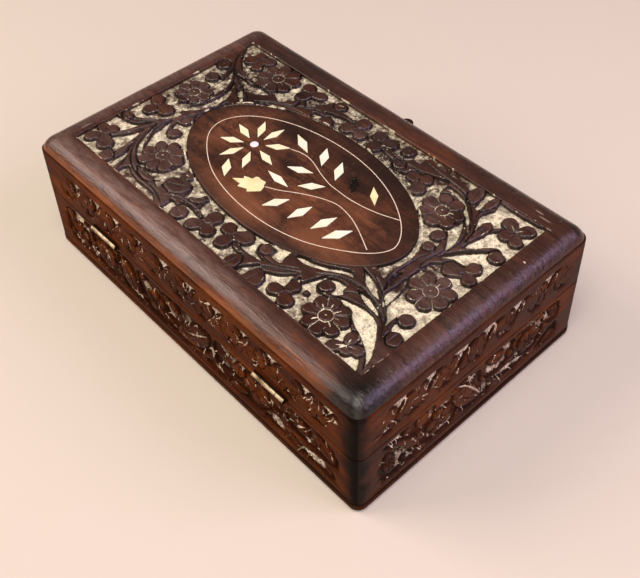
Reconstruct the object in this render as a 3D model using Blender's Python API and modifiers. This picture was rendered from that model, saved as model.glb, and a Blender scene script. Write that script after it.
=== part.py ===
"""Trinket box: a hardwood box with an inlaid top, hinged at the back.

Metres, +Z up. The origin is the middle of the underside, on the surface that the box
stands on. X runs along the long sides, the front faces -Y and the hinges lie at +Y.
"""

import math

import bmesh
import bpy
from mathutils import Matrix, Vector

MM = 0.001

# The whole box
BOX_LENGTH = 203.0 * MM
BOX_DEPTH = 128.5 * MM
BOX_HEIGHT = 63.5 * MM
SEAM_HEIGHT = 34.5 * MM
CORNER_RADIUS = 4.5 * MM
CORNER_STEPS = 8

# Clearance between pieces that touch, and how far a cutter passes a face
GAP = 0.3 * MM
OVERRUN = 1.0 * MM

# Limits of the modelling itself: welding, sharp edges and what counts as upright
WELD_DISTANCE = MM / 1000
SAME_HEIGHT = MM / 100
SHARP_ANGLE = math.radians(40.0)
LEVEL_FACE_SHARE = 0.97

# Boards and walls
WALL = 8.0 * MM
BOTTOM_BOARD = 4.6 * MM
BOTTOM_EDGE_ROUND = 2.5 * MM
TOP_BOARD = 5.6 * MM
TOP_EDGE_ROUND = 8.2 * MM
ROUNDED_BLANK = 9.0 * MM
EDGE_ROUND_LIMIT_SHARE = 0.97
EDGE_ROUND_STEPS = 8
WALL_EDGE_EASE = 0.35 * MM
WALL_EASE_STEPS = 1

# Felt on the floor of the base
LINING = 1.2 * MM
LINING_MARGIN = 0.4 * MM

# Sunk field in the top, with the oval medallion left standing in it
FIELD_END_BORDER = 12.2 * MM
FIELD_SIDE_BORDER = 13.4 * MM
FIELD_DEPTH = 1.8 * MM
MEDALLION_LENGTH = 122.8 * MM
MEDALLION_WIDTH = 67.8 * MM
MEDALLION_STEPS = 72

# Carving of the field: the large flowers, the small flowers and the round buds
ROSETTE_DIAMETER = 19.6 * MM
ROSETTE_REACH_SHARE = 0.345
ROSETTE_PETAL_SHARE = 0.155
SMALL_FLOWER_REACH = 4.2 * MM
SMALL_PETAL_DIAMETER = 6.6 * MM
BUD_DIAMETER = 6.4 * MM
CARVED_PETAL_STEPS = 4
BUD_STEPS = 10

# Places are shares of the field's half sizes; then size share, petals and turn in degrees
ROSETTE_SHARES = (
    (-0.692, 0.820, 1.00, 8, 17.0),
    (-0.897, 0.120, 0.95, 7, 10.0),
    (0.579, 0.616, 1.06, 8, 15.0),
    (0.875, -0.114, 0.91, 8, 5.0),
    (0.654, -0.789, 1.11, 8, 22.0),
    (-0.607, -0.568, 0.98, 7, -8.0),
)

# Place shares, petals and turn in degrees
SMALL_FLOWER_SHARES = (
    (-0.477, 0.881, 3, 22.0),
    (-0.072, 0.793, 3, 90.0),
    (0.071, 0.865, 3, 35.0),
    (0.913, 0.240, 3, 78.0),
    (0.441, -0.852, 3, 79.0),
    (0.074, -0.800, 3, 35.0),
    (-0.083, -0.826, 3, 85.0),
    (-0.402, -0.686, 3, 0.0),
    (-0.924, -0.197, 3, 25.0),
    (-0.863, 0.901, 4, 30.0),
    (0.924, 0.808, 4, 60.0),
    (0.843, -0.846, 4, 36.0),
    (-0.922, -0.781, 4, 55.0),
)
BUD_SHARES = (
    (-0.935, 0.441),
    (0.215, 0.928),
    (0.777, 0.952),
    (0.915, -0.382),
    (0.255, -0.912),
    (-0.221, -0.901),
    (-0.961, -0.480),
    (0.679, 0.366),
    (-0.697, -0.346),
)

# The sunk ground between the carved stems and leaves
GROUND_SHARES = {
    "corner_crescent": (
        (-0.993, 1.000), (-0.970, 0.846), (-0.908, 0.684), (-0.840, 0.584), (-0.753, 0.576),
        (-0.646, 0.641), (-0.723, 0.643), (-0.791, 0.720), (-0.884, 0.796), (-0.945, 0.867),
        (-0.976, 0.954),
    ),
    "upper_left": (
        (-0.968, 1.000), (-0.943, 0.916), (-0.873, 0.838), (-0.802, 0.763), (-0.739, 0.712),
        (-0.683, 0.700), (-0.616, 0.739), (-0.594, 0.696), (-0.538, 0.649), (-0.540, 0.566),
        (-0.488, 0.732), (-0.452, 0.673), (-0.380, 0.812), (-0.324, 0.873), (-0.372, 0.909),
        (-0.378, 1.000),
    ),
    "upper_spindle": (
        (-0.849, 0.555), (-0.740, 0.533), (-0.681, 0.486), (-0.784, 0.494),
    ),
    "lower_spindle": (
        (-0.786, 0.442), (-0.679, 0.401), (-0.611, 0.305), (-0.703, 0.340),
    ),
    "strip_by_medallion": (
        (-0.620, 0.421), (-0.529, 0.509), (-0.441, 0.580), (-0.356, 0.586), (-0.441, 0.525),
        (-0.516, 0.462), (-0.591, 0.387),
    ),
    "left_end": (
        (-1.000, 0.594), (-0.941, 0.578), (-0.898, 0.598), (-0.869, 0.527), (-0.820, 0.413),
        (-0.805, 0.216), (-0.776, 0.059), (-0.788, -0.094), (-0.833, -0.163), (-0.784, -0.171),
        (-0.821, -0.307), (-0.862, -0.401), (-0.912, -0.484), (-0.959, -0.539), (-0.903, -0.527),
        (-0.858, -0.433), (-0.814, -0.370), (-0.794, -0.531), (-0.746, -0.724), (-0.755, -0.806),
        (-0.748, -0.968), (-0.885, -0.962), (-1.000, -0.968),
    ),
    "round_medallion_end": (
        (-0.721, 0.267), (-0.674, 0.252), (-0.616, 0.000), (-0.560, -0.197), (-0.448, -0.354),
        (-0.314, -0.511), (-0.230, -0.641), (-0.291, -0.669), (-0.327, -0.759), (-0.448, -0.838),
        (-0.513, -0.812), (-0.526, -0.708), (-0.627, -0.712), (-0.672, -0.610), (-0.679, -0.511),
        (-0.722, -0.354), (-0.745, -0.212), (-0.711, -0.177), (-0.716, -0.029), (-0.703, 0.157),
    ),
    "inner_crescent": (
        (-0.782, -0.252), (-0.735, -0.385), (-0.708, -0.433), (-0.717, -0.598), (-0.765, -0.472),
        (-0.784, -0.360),
    ),
    "outer_crescent": (
        (-0.777, -0.559), (-0.740, -0.641), (-0.653, -0.779), (-0.542, -0.822), (-0.546, -0.783),
        (-0.641, -0.743), (-0.721, -0.618),
    ),
    "lower_left_edge": (
        (-0.609, -0.893), (-0.560, -0.928), (-0.470, -0.922), (-0.347, -0.958), (-0.318, -0.920),
        (-0.320, -0.850), (-0.289, -0.853), (-0.284, -1.000), (-0.620, -1.000),
    ),
    "front_middle": (
        (-0.269, -1.000), (-0.262, -0.810), (-0.157, -0.800), (-0.139, -0.753), (-0.209, -0.722),
        (-0.215, -0.610), (0.000, -0.629), (0.157, -0.610), (0.161, -0.665), (0.222, -0.747),
        (0.287, -0.755), (0.170, -0.824), (0.161, -0.863), (0.226, -0.861), (0.264, -1.000),
    ),
    "front_star": (
        (0.233, -0.614), (0.296, -0.606), (0.320, -0.680), (0.269, -0.714),
    ),
    "lower_right_strip": (
        (0.320, -0.582), (0.436, -0.490), (0.553, -0.385), (0.592, -0.429), (0.460, -0.517),
    ),
    "short_strip": (
        (0.616, -0.301), (0.716, -0.378), (0.747, -0.437), (0.660, -0.389),
    ),
    "arch_strip": (
        (0.578, -0.570), (0.665, -0.468), (0.709, -0.460), (0.833, -0.566), (0.716, -0.560),
    ),
    "under_arch": (
        (0.289, -1.000), (0.325, -0.816), (0.392, -0.669), (0.436, -0.610), (0.443, -0.708),
        (0.502, -0.568), (0.567, -0.610), (0.713, -0.604), (0.809, -0.619), (0.877, -0.673),
        (0.940, -0.773), (0.973, -0.857), (0.981, -1.000),
    ),
    "right_end": (
        (0.784, -0.240), (0.807, -0.439), (0.851, -0.539), (0.914, -0.633), (0.947, -0.507),
        (1.000, -0.488), (1.000, 0.460), (0.924, 0.476), (0.866, 0.417), (0.782, 0.260),
        (0.755, 0.161), (0.784, 0.130), (0.741, 0.024), (0.708, -0.147), (0.714, -0.262),
        (0.777, -0.452), (0.807, -0.501), (0.767, -0.338), (0.757, -0.240), (0.770, -0.167),
    ),
    "upper_right_corner": (
        (0.835, 0.437), (0.918, 0.560), (1.000, 0.580), (1.000, 1.000), (0.741, 1.000),
        (0.732, 0.885), (0.817, 0.869), (0.880, 0.787), (0.892, 0.728), (0.868, 0.641),
        (0.815, 0.401),
    ),
    "between_stems": (
        (0.772, 0.846), (0.813, 0.834), (0.862, 0.775), (0.824, 0.610), (0.809, 0.500),
        (0.783, 0.669),
    ),
    "tall_wedge": (
        (0.676, 1.000), (0.693, 0.885), (0.754, 0.704), (0.783, 0.582), (0.732, 0.806),
        (0.723, 0.905), (0.726, 1.000),
    ),
    "back_edge": (
        (0.329, 1.000), (0.373, 0.970), (0.511, 0.946), (0.634, 0.901), (0.623, 1.000),
    ),
    "round_rosette": (
        (0.417, 0.877), (0.473, 0.846), (0.604, 0.828), (0.709, 0.730), (0.775, 0.551),
        (0.804, 0.389), (0.764, 0.433), (0.769, 0.279), (0.719, 0.248), (0.677, 0.157),
        (0.627, 0.118), (0.560, 0.236), (0.515, 0.441), (0.459, 0.472), (0.401, 0.590),
        (0.401, 0.696), (0.428, 0.737), (0.423, 0.806),
    ),
    "back_middle": (
        (-0.157, 1.000), (-0.159, 0.909), (-0.188, 0.881), (-0.108, 0.816), (-0.243, 0.824),
        (-0.287, 0.794), (-0.199, 0.688), (-0.222, 0.610), (-0.112, 0.590), (0.134, 0.590),
        (0.224, 0.570), (0.329, 0.582), (0.349, 0.639), (0.343, 0.684), (0.284, 0.757),
        (0.316, 0.861), (0.298, 0.964), (0.284, 1.000),
    ),
}

# Carving of the base walls: its borders and depth, and its flowers and buds
ROW_END_BORDER = 12.5 * MM
ROW_FOOT_BORDER = 4.7 * MM
ROW_TOP_BORDER = 3.35 * MM
ROW_DEPTH = 1.3 * MM
ROW_FLOWER_DIAMETER = 17.0 * MM
ROW_FLOWER_REACH_SHARE = 0.30
ROW_FLOWER_PETAL_SHARE = 0.19
ROW_FLOWER_TURN = 90.0
ROW_BUD_DIAMETER = 7.4 * MM

# Places are shares of half the carving's length, along X or Y, and of its height
LONG_ROW_SHARES = {
    "ground": (
        ((-1.00, 0.02), (-0.98, 0.20), (-0.94, 0.28), (-0.86, 0.23), (-0.73, 0.03)),
        ((-1.00, 0.44), (-0.99, 0.84), (-0.94, 0.99), (-0.72, 0.94), (-0.70, 0.67), (-0.74, 0.46),
         (-0.86, 0.40)),
        ((-0.69, 0.02), (-0.68, 0.23), (-0.64, 0.37), (-0.59, 0.23), (-0.55, 0.03)),
        ((-0.67, 0.98), (-0.25, 1.00), (-0.21, 0.77), (-0.21, 0.44), (-0.25, 0.23), (-0.36, 0.09),
         (-0.49, 0.02), (-0.54, 0.11), (-0.61, 0.42), (-0.67, 0.56)),
        ((-0.27, 0.13), (-0.21, 0.20), (-0.13, 0.11), (-0.16, 0.00), (-0.28, 0.00)),
        ((-0.19, 0.99), (0.16, 0.99), (0.16, 0.72), (0.12, 0.39), (0.13, 0.16), (0.10, 0.01),
         (-0.09, 0.01), (-0.11, 0.20), (-0.17, 0.44)),
        ((0.19, 0.98), (0.35, 1.00), (0.38, 0.77), (0.36, 0.20), (0.29, 0.01), (0.17, 0.01),
         (0.16, 0.39), (0.19, 0.70)),
        ((0.41, 1.00), (0.53, 1.00), (0.54, 0.72), (0.52, 0.20), (0.49, 0.01), (0.38, 0.00),
         (0.39, 0.39), (0.41, 0.72)),
        ((0.58, 0.99), (0.74, 1.00), (0.77, 0.72), (0.75, 0.20), (0.72, 0.01), (0.58, 0.01),
         (0.55, 0.20), (0.57, 0.72)),
        ((0.80, 1.00), (0.94, 1.00), (1.00, 0.81), (1.00, 0.20), (0.97, 0.01), (0.77, 0.01),
         (0.79, 0.30), (0.80, 0.67)),
    ),
    "flowers": ((-0.51, 0.56, 1.00, 5), (0.24, 0.43, 0.84, 5), (0.66, 0.49, 0.98, 6), (0.89, 0.42, 0.80, 5)),
    "leaves": (
        ((-0.98, 0.50), (-0.98, 0.77), (-0.90, 0.93), (-0.88, 0.72), (-0.92, 0.51)),
        ((0.08, 0.11), (-0.04, 0.14), (-0.14, 0.42), (-0.18, 0.88), (-0.09, 0.88), (0.02, 0.56), (0.07, 0.30)),
        ((0.40, 0.16), (0.42, 0.58), (0.49, 0.93), (0.52, 0.67), (0.51, 0.30), (0.46, 0.13)),
        ((-0.40, 0.97), (-0.35, 0.70), (-0.37, 0.49), (-0.43, 0.67)),
    ),
    "buds": ((-0.80, 0.70), (0.09, 0.77)),
}
SHORT_ROW_SHARES = {
    "ground": (
        ((1.00, 0.02), (1.00, 0.72), (0.89, 0.75), (0.79, 0.53), (0.70, 0.23), (0.60, 0.02)),
        ((0.97, 0.90), (0.97, 1.00), (0.47, 0.99), (0.46, 0.77), (0.58, 0.58), (0.71, 0.60), (0.83, 0.85)),
        ((0.58, 0.39), (0.52, 0.56), (0.39, 0.78), (0.24, 0.77), (0.19, 0.49), (0.21, 0.11), (0.31, 0.01),
         (0.50, 0.01), (0.56, 0.16)),
        ((0.24, 0.98), (0.08, 1.00), (-0.03, 0.86), (-0.05, 0.58), (-0.16, 0.21), (-0.14, 0.01),
         (0.04, 0.00), (0.16, 0.11), (0.15, 0.49), (0.20, 0.84)),
        ((-0.09, 0.99), (-0.43, 0.98), (-0.41, 0.67), (-0.35, 0.46), (-0.19, 0.40), (-0.10, 0.51)),
        ((-0.19, 0.32), (-0.39, 0.26), (-0.60, 0.13), (-0.61, 0.02), (-0.39, 0.05), (-0.21, 0.20)),
        ((-0.46, 0.88), (-0.45, 0.40), (-0.52, 0.27), (-0.71, 0.20), (-0.78, 0.42), (-0.77, 0.86),
         (-0.66, 0.99), (-0.52, 1.00)),
        ((-0.82, 1.00), (-0.97, 0.98), (-0.99, 0.58), (-0.89, 0.51), (-0.81, 0.67)),
        ((-0.73, 0.11), (-0.85, 0.30), (-0.97, 0.39), (-1.00, 0.07), (-0.89, 0.00), (-0.74, 0.01)),
    ),
    "flowers": ((0.40, 0.40, 0.87, 5), (-0.62, 0.53, 0.87, 6)),
    "leaves": (
        ((0.22, 0.89), (0.20, 0.49), (0.14, 0.16), (-0.08, 0.07), (-0.03, 0.39), (0.09, 0.74)),
        ((0.93, 0.07), (0.98, 0.35), (0.94, 0.69), (0.86, 0.44), (0.85, 0.16)),
        ((-0.12, 0.93), (-0.25, 0.94), (-0.34, 0.75), (-0.21, 0.61)),
        ((-0.85, 0.94), (-0.90, 0.63), (-0.96, 0.64), (-0.95, 0.91)),
    ),
    "buds": ((0.58, 0.83),),
}

# Inlay let into the medallion
INLAY_THICKNESS = 1.0 * MM
WIRE_WIDTH = 0.7 * MM
OVAL_LENGTH = 107.2 * MM
OVAL_WIDTH = 54.2 * MM
OVAL_CENTRE_SHARES = (-0.014, 0.006)
OVAL_STEPS = 72
OVAL_ROUND_END_POWER = 1.0
OVAL_POINTED_END_POWER = 1.35
CENTRE_DOT_DIAMETER = 3.6 * MM
DOT_STEPS = 20

# Flower of eight petals round the dot; places are shares of the medallion's half sizes
FLOWER_CENTRE_SHARES = (0.478, -0.034)
PETAL_ANGLES = (28.0, 71.0, 121.0, 168.0, 216.0, 264.0, 302.0, 345.0)
PETAL_INNER_RADIUS = 4.8 * MM
PETAL_LENGTH = 11.2 * MM
PETAL_WIDTH = 4.4 * MM

# Loose leaves: centre as shares of the half sizes, turn in degrees
LEAF_LENGTH = 11.8 * MM
LEAF_WIDTH = 4.1 * MM
SPRIG_LEAF_SHARES = (
    (-0.572, 0.318, 64.0),
    (-0.436, 0.301, 76.0),
    (-0.257, 0.383, 78.0),
    (-0.075, 0.475, 62.0),
)
FLOWER_LEAF_SHARES = (
    (-0.484, -0.442, -43.0),
    (-0.142, -0.447, -59.0),
    (0.036, -0.503, -55.0),
    (0.248, -0.485, -23.0),
)
SCATTERED_LEAF_SHARES = (
    (0.090, 0.180, -3.0),
    (-0.123, -0.024, 42.0),
    (0.053, -0.125, 25.0),
    (0.424, 0.488, -48.0),
)

# Empty pocket of a leaf that has been lost
LOST_LEAF_SHARES = (-0.301, -0.413, -58.0)

# Toothed leaf at the end of the sprig, outline as shares of its length and width
TOOTHED_LEAF_LENGTH = 14.4 * MM
TOOTHED_LEAF_WIDTH = 9.9 * MM
TOOTHED_LEAF_CENTRE_SHARES = (0.195, 0.468)
TOOTHED_LEAF_SHARES = (
    (-0.43, -0.27),
    (-0.50, -0.01),
    (-0.38, 0.18),
    (-0.24, 0.46),
    (-0.15, 0.31),
    (0.13, 0.50),
    (0.16, 0.31),
    (0.50, 0.34),
    (0.26, 0.02),
    (0.34, -0.10),
    (0.07, -0.24),
    (0.05, -0.45),
    (-0.12, -0.50),
    (-0.30, -0.49),
)

# Stems of wire, as shares of the medallion's half sizes, from the bloom to the oval
FLOWER_STEM_SHARES = (
    (0.243, -0.335),
    (0.120, -0.354),
    (0.000, -0.304),
    (-0.195, -0.204),
    (-0.372, -0.190),
    (-0.530, -0.223),
    (-0.660, -0.290),
    (-0.722, -0.335),
)
SPRIG_STEM_SHARES = (
    (0.078, 0.372),
    (0.000, 0.307),
    (-0.160, 0.120),
    (-0.262, 0.020),
    (-0.372, -0.024),
    (-0.500, 0.010),
    (-0.640, 0.100),
    (-0.790, 0.243),
)
STEM_STEPS = 5

# How far a corner of an outline may reach out when the outline is widened
SHARPEST_CORNER_SHARE = 0.35

# Butt hinges in the seam
HINGE_SPACING = 109.0 * MM
HINGE_LENGTH = 17.8 * MM
HINGE_END_KNUCKLE = 4.3 * MM
BARREL_DIAMETER = 2.6 * MM
BARREL_STAND_OFF = 0.5 * MM
BARREL_STEPS = 24
PIN_DIAMETER = 1.2 * MM
PIN_STEPS = 16
LEAF_PLATE = 0.9 * MM
LEAF_PLATE_WIDTH = 6.0 * MM
LEAF_END_SLACK = 1.2 * MM

# Small nails that hold the hinge plates
NAIL_SPACING = 10.0 * MM
NAIL_INSET = 3.4 * MM
NAIL_HEAD_DIAMETER = 2.2 * MM
NAIL_HEAD = 0.5 * MM
NAIL_SHANK_DIAMETER = 1.0 * MM
NAIL_LENGTH = 6.0 * MM
NAIL_POINT = 1.2 * MM
NAIL_STEPS = 12

# Thumb tab on the front of the lid
TAB_WIDTH = 6.0 * MM
TAB_REACH = 4.3 * MM
TAB_THICKNESS = 4.6 * MM
TAB_TOP_DROP = 7.5 * MM
TAB_EDGE_EASE = 0.6 * MM
TAB_EASE_STEPS = 2
TAB_STEPS = 14
TENON_DIAMETER = 2.2 * MM
TENON_LENGTH = 4.0 * MM
TENON_DROP = 3.9 * MM
TENON_ROOT = 1.0 * MM

# Places worked out from the sizes above
HALF_LENGTH = BOX_LENGTH / 2
HALF_DEPTH = BOX_DEPTH / 2
BASE_TOP = SEAM_HEIGHT - GAP / 2
LID_BOTTOM = SEAM_HEIGHT + GAP / 2
WALL_FOOT = BOTTOM_BOARD + GAP
BOARD_UNDERSIDE = BOX_HEIGHT - TOP_BOARD
RAIL_TOP = BOARD_UNDERSIDE - GAP
AXIS_Y = HALF_DEPTH + BARREL_STAND_OFF
BARREL_RADIUS = BARREL_DIAMETER / 2
MIDDLE_KNUCKLE = HINGE_LENGTH - 2 * (HINGE_END_KNUCKLE + GAP)

ROW_LOW = WALL_FOOT + ROW_FOOT_BORDER
ROW_HEIGHT = BASE_TOP - ROW_TOP_BORDER - ROW_LOW

SIDES = ("front", "back", "left", "right")
LONG_SIDES = ("front", "back")
SIDE_TURNS = {"front": 0.0, "right": 90.0, "back": 180.0, "left": 270.0}
HINGE_PLACES = {"left": -HINGE_SPACING / 2, "right": HINGE_SPACING / 2}


def clear_scene():
    """Remove every object, so that the model starts from nothing."""
    for existing in list(bpy.data.objects):
        bpy.data.objects.remove(existing, do_unlink=True)


def new_collection(name):
    """Return a collection of this name, linked to the scene."""
    collection = bpy.data.collections.new(name)
    bpy.context.scene.collection.children.link(collection)
    return collection


def new_material(name, colour, roughness, metallic):
    """Return a plain Principled material."""
    material = bpy.data.materials.new(name)
    material.use_nodes = True
    shader = material.node_tree.nodes["Principled BSDF"]
    shader.inputs["Base Color"].default_value = (*colour, 1.0)
    shader.inputs["Roughness"].default_value = roughness
    shader.inputs["Metallic"].default_value = metallic
    material.diffuse_color = (*colour, 1.0)
    return material


def move_to(collection, piece):
    """Put an object into one collection only."""
    for holder in list(piece.users_collection):
        holder.objects.unlink(piece)
    collection.objects.link(piece)


def hide_cutter(cutter):
    """Mark a shape as a tool that only cuts or joins."""
    move_to(CUTTERS, cutter)
    cutter.hide_render = True
    cutter.display_type = "WIRE"
    return cutter


def finish_part(piece, name, colour):
    """Name a part, give it its own material and put it with the parts."""
    piece.name = name
    piece.data.name = name
    material = colour.copy()
    material.name = name
    piece.data.materials.clear()
    piece.data.materials.append(material)
    move_to(PARTS, piece)
    return piece


def apply_boolean(piece, cutter, operation):
    """Add a Boolean modifier with the exact solver."""
    modifier = piece.modifiers.new(cutter.name, "BOOLEAN")
    modifier.operation = operation
    modifier.solver = "EXACT"
    modifier.object = cutter
    return modifier


def ease_edges(piece, width, segments):
    """Round the sharp edges of a piece a little."""
    modifier = piece.modifiers.new("eased", "BEVEL")
    modifier.width = width
    modifier.segments = segments
    modifier.limit_method = "ANGLE"
    modifier.angle_limit = SHARP_ANGLE
    return modifier


def box(name, low, high):
    """Return a box between two corners, from the cube primitive."""
    low = Vector(low)
    high = Vector(high)
    bpy.ops.mesh.primitive_cube_add(size=1.0)
    piece = bpy.context.active_object
    piece.name = name
    size = high - low
    scale = Matrix.Diagonal((size.x, size.y, size.z, 1.0))
    piece.data.transform(scale)
    piece.location = (low + high) / 2
    bpy.context.view_layer.update()
    return piece


def cylinder(name, start, end, radius, steps):
    """Return a cylinder from one point to another, from the cylinder primitive."""
    start = Vector(start)
    end = Vector(end)
    run = end - start
    bpy.ops.mesh.primitive_cylinder_add(vertices=steps, radius=radius, depth=run.length)
    piece = bpy.context.active_object
    piece.name = name
    turn = Vector((0, 0, 1)).rotation_difference(run).to_matrix().to_4x4()
    piece.data.transform(turn)
    piece.location = (start + end) / 2
    piece.data.shade_smooth()
    piece.data.set_sharp_from_angle(angle=SHARP_ANGLE)
    bpy.context.view_layer.update()
    return piece


def slab(name, outlines, low_z, high_z):
    """Return a mesh plate with these flat outlines, from a filled 2D curve."""
    curve = bpy.data.curves.new(name, "CURVE")
    curve.dimensions = "2D"
    curve.fill_mode = "BOTH"
    curve.extrude = (high_z - low_z) / 2
    for outline in outlines:
        spline = curve.splines.new("POLY")
        spline.points.add(len(outline) - 1)
        for point, (x, y) in zip(spline.points, outline):
            point.co = (x, y, 0, 1)
        spline.use_cyclic_u = True
    drawn = bpy.data.objects.new(name + "_outline", curve)
    drawn.location = (0, 0, (low_z + high_z) / 2)
    bpy.context.scene.collection.objects.link(drawn)
    bpy.context.view_layer.update()
    graph = bpy.context.evaluated_depsgraph_get()
    mesh = bpy.data.meshes.new_from_object(drawn.evaluated_get(graph))
    work = bmesh.new()
    work.from_mesh(mesh)
    bmesh.ops.remove_doubles(work, verts=work.verts, dist=WELD_DISTANCE)
    bmesh.ops.recalc_face_normals(work, faces=work.faces)
    work.to_mesh(mesh)
    work.free()
    piece = bpy.data.objects.new(name, mesh)
    piece.matrix_world = drawn.matrix_world.copy()
    bpy.context.scene.collection.objects.link(piece)
    bpy.data.objects.remove(drawn, do_unlink=True)
    bpy.context.view_layer.update()
    return piece


def arc(centre_x, centre_y, radius, start, end, steps):
    """Return points along an arc, with its angles in degrees."""
    points = []
    for step in range(steps + 1):
        angle = math.radians(start + (end - start) * step / steps)
        x = centre_x + radius * math.cos(angle)
        y = centre_y + radius * math.sin(angle)
        points.append((x, y))
    return points


def rounded_rectangle(half_x, half_y, radius):
    """Return the outline of a rectangle with round corners."""
    near_x = half_x - radius
    near_y = half_y - radius
    points = arc(near_x, near_y, radius, 0, 90, CORNER_STEPS)
    points += arc(-near_x, near_y, radius, 90, 180, CORNER_STEPS)
    points += arc(-near_x, -near_y, radius, 180, 270, CORNER_STEPS)
    points += arc(near_x, -near_y, radius, 270, 360, CORNER_STEPS)
    return points


def mitred_outline(half_run, half_across):
    """Return the plan of the wall on the +Y side of a box, mitred at both ends."""
    mitre_shift = GAP / math.sqrt(2)
    arc_start = 45.0 + math.degrees(math.asin(GAP / 2 / CORNER_RADIUS))
    near_x = half_run - CORNER_RADIUS
    near_y = half_across - CORNER_RADIUS
    half_steps = CORNER_STEPS // 2
    inner_x = half_run - WALL - mitre_shift
    inner_y = half_across - WALL
    points = [(inner_x, inner_y)]
    points += arc(near_x, near_y, CORNER_RADIUS, arc_start, 90, half_steps)
    points += arc(-near_x, near_y, CORNER_RADIUS, 90, 180 - arc_start, half_steps)
    points.append((-inner_x, inner_y))
    return points


def wall_outline(side):
    """Return the plan of one of the four walls."""
    if side == "back":
        return mitred_outline(HALF_LENGTH, HALF_DEPTH)
    if side == "front":
        return [(x, -y) for x, y in mitred_outline(HALF_LENGTH, HALF_DEPTH)]
    if side == "right":
        return [(y, x) for x, y in mitred_outline(HALF_DEPTH, HALF_LENGTH)]
    return [(-y, x) for x, y in mitred_outline(HALF_DEPTH, HALF_LENGTH)]


def round_rim(piece, rim_z, width, steps):
    """Round the outer rim of a plate at one height."""
    work = bmesh.new()
    work.from_mesh(piece.data)
    local_z = rim_z - piece.location.z
    rim = []
    for edge in work.edges:
        at_rim = all(abs(vert.co.z - local_z) < SAME_HEIGHT for vert in edge.verts)
        outer = any(abs(face.normal.z) < LEVEL_FACE_SHARE for face in edge.link_faces)
        if at_rim and outer:
            rim.append(edge)
    bmesh.ops.bevel(work, geom=rim, offset=width, segments=steps, profile=0.5, affect="EDGES")
    work.to_mesh(piece.data)
    work.free()
    piece.data.shade_smooth()
    piece.data.set_sharp_from_angle(angle=SHARP_ANGLE)


def base_bottom_board():
    """Model the board that the box stands on."""
    outline = rounded_rectangle(HALF_LENGTH, HALF_DEPTH, CORNER_RADIUS)
    board = slab("base_bottom_board", [outline], 0, BOTTOM_BOARD)
    rounding = min(BOTTOM_EDGE_ROUND, BOTTOM_BOARD * EDGE_ROUND_LIMIT_SHARE)
    round_rim(board, 0, rounding, EDGE_ROUND_STEPS // 2)
    return finish_part(board, "base_bottom_board", WOOD)


def hinge_pocket(name, place, low_z, high_z):
    """Return the cutters that let a hinge plate and its barrel into a wall."""
    half = HINGE_LENGTH / 2 + GAP
    slack = LEAF_END_SLACK if place < 0 else 0
    low = (place - half - slack, HALF_DEPTH - LEAF_PLATE_WIDTH - GAP, low_z)
    high = (place + half, HALF_DEPTH + OVERRUN, high_z)
    plate = hide_cutter(box(name + "_pocket", low, high))
    start = (place - half - slack, AXIS_Y, SEAM_HEIGHT)
    end = (place + half, AXIS_Y, SEAM_HEIGHT)
    groove = cylinder(name + "_groove", start, end, BARREL_RADIUS + GAP, BARREL_STEPS)
    return [plate, hide_cutter(groove)]


def nail_places(place):
    """Return where the two nails of one hinge plate stand."""
    y = HALF_DEPTH - NAIL_INSET
    return [(place - NAIL_SPACING / 2, y), (place + NAIL_SPACING / 2, y)]


def nail_hole(name, x, y, start_z, end_z, radius):
    """Return a cutter for one nail."""
    return hide_cutter(cylinder(name, (x, y, start_z), (x, y, end_z), radius, NAIL_STEPS))


def cut_for_hinges(wall, sign):
    """Cut the pockets, grooves and nail holes of both hinges into a back wall.

    sign is -1 for the base wall, below the seam, and 1 for the lid rail above it.
    """
    edge = SEAM_HEIGHT + sign * GAP / 2
    floor = edge + sign * (LEAF_PLATE + GAP)
    hole_end = edge + sign * (NAIL_LENGTH + GAP)
    radius = NAIL_SHANK_DIAMETER / 2 + GAP
    for side, place in HINGE_PLACES.items():
        name = wall.name + "_" + side
        low_z, high_z = sorted((floor, edge - sign * OVERRUN))
        for cutter in hinge_pocket(name, place, low_z, high_z):
            apply_boolean(wall, cutter, "DIFFERENCE")
        for x, y in nail_places(place):
            hole = nail_hole(name + "_hole", x, y, floor - sign * OVERRUN, hole_end, radius)
            apply_boolean(wall, hole, "DIFFERENCE")


def on_row(side, shares):
    """Return a place on a wall's carving: how far right of its middle and how high."""
    half_run = (HALF_LENGTH if side in LONG_SIDES else HALF_DEPTH) - ROW_END_BORDER
    way = 1 if side in ("front", "right") else -1
    return (way * shares[0] * half_run, ROW_LOW + shares[1] * ROW_HEIGHT)


def stand_up(piece, side):
    """Turn a flat plate so that it stands in the plane of one wall."""
    upright = Matrix.Rotation(math.radians(90.0), 4, "X")
    turn = Matrix.Rotation(math.radians(SIDE_TURNS[side]), 4, "Z")
    piece.matrix_world = turn @ upright @ piece.matrix_world
    return piece


def standing_row(side):
    """Return the outlines of the flowers, leaves and buds of one wall's carving."""
    row = LONG_ROW_SHARES if side in LONG_SIDES else SHORT_ROW_SHARES
    flowers = []
    for along, up, size, petals in row["flowers"]:
        reach = ROW_FLOWER_DIAMETER * ROW_FLOWER_REACH_SHARE * size
        petal_radius = ROW_FLOWER_DIAMETER * ROW_FLOWER_PETAL_SHARE * size
        centre = on_row(side, (along, up))
        flowers.append(scalloped_outline(centre, reach, petal_radius, petals, ROW_FLOWER_TURN))
    leaves = [[on_row(side, place) for place in leaf] for leaf in row["leaves"]]
    buds = []
    for place in row["buds"]:
        x, y = on_row(side, place)
        buds.append(arc(x, y, ROW_BUD_DIAMETER / 2, 0, 360, BUD_STEPS)[:-1])
    return {"_flowers": flowers, "_leaves": leaves, "_buds": buds}


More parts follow.
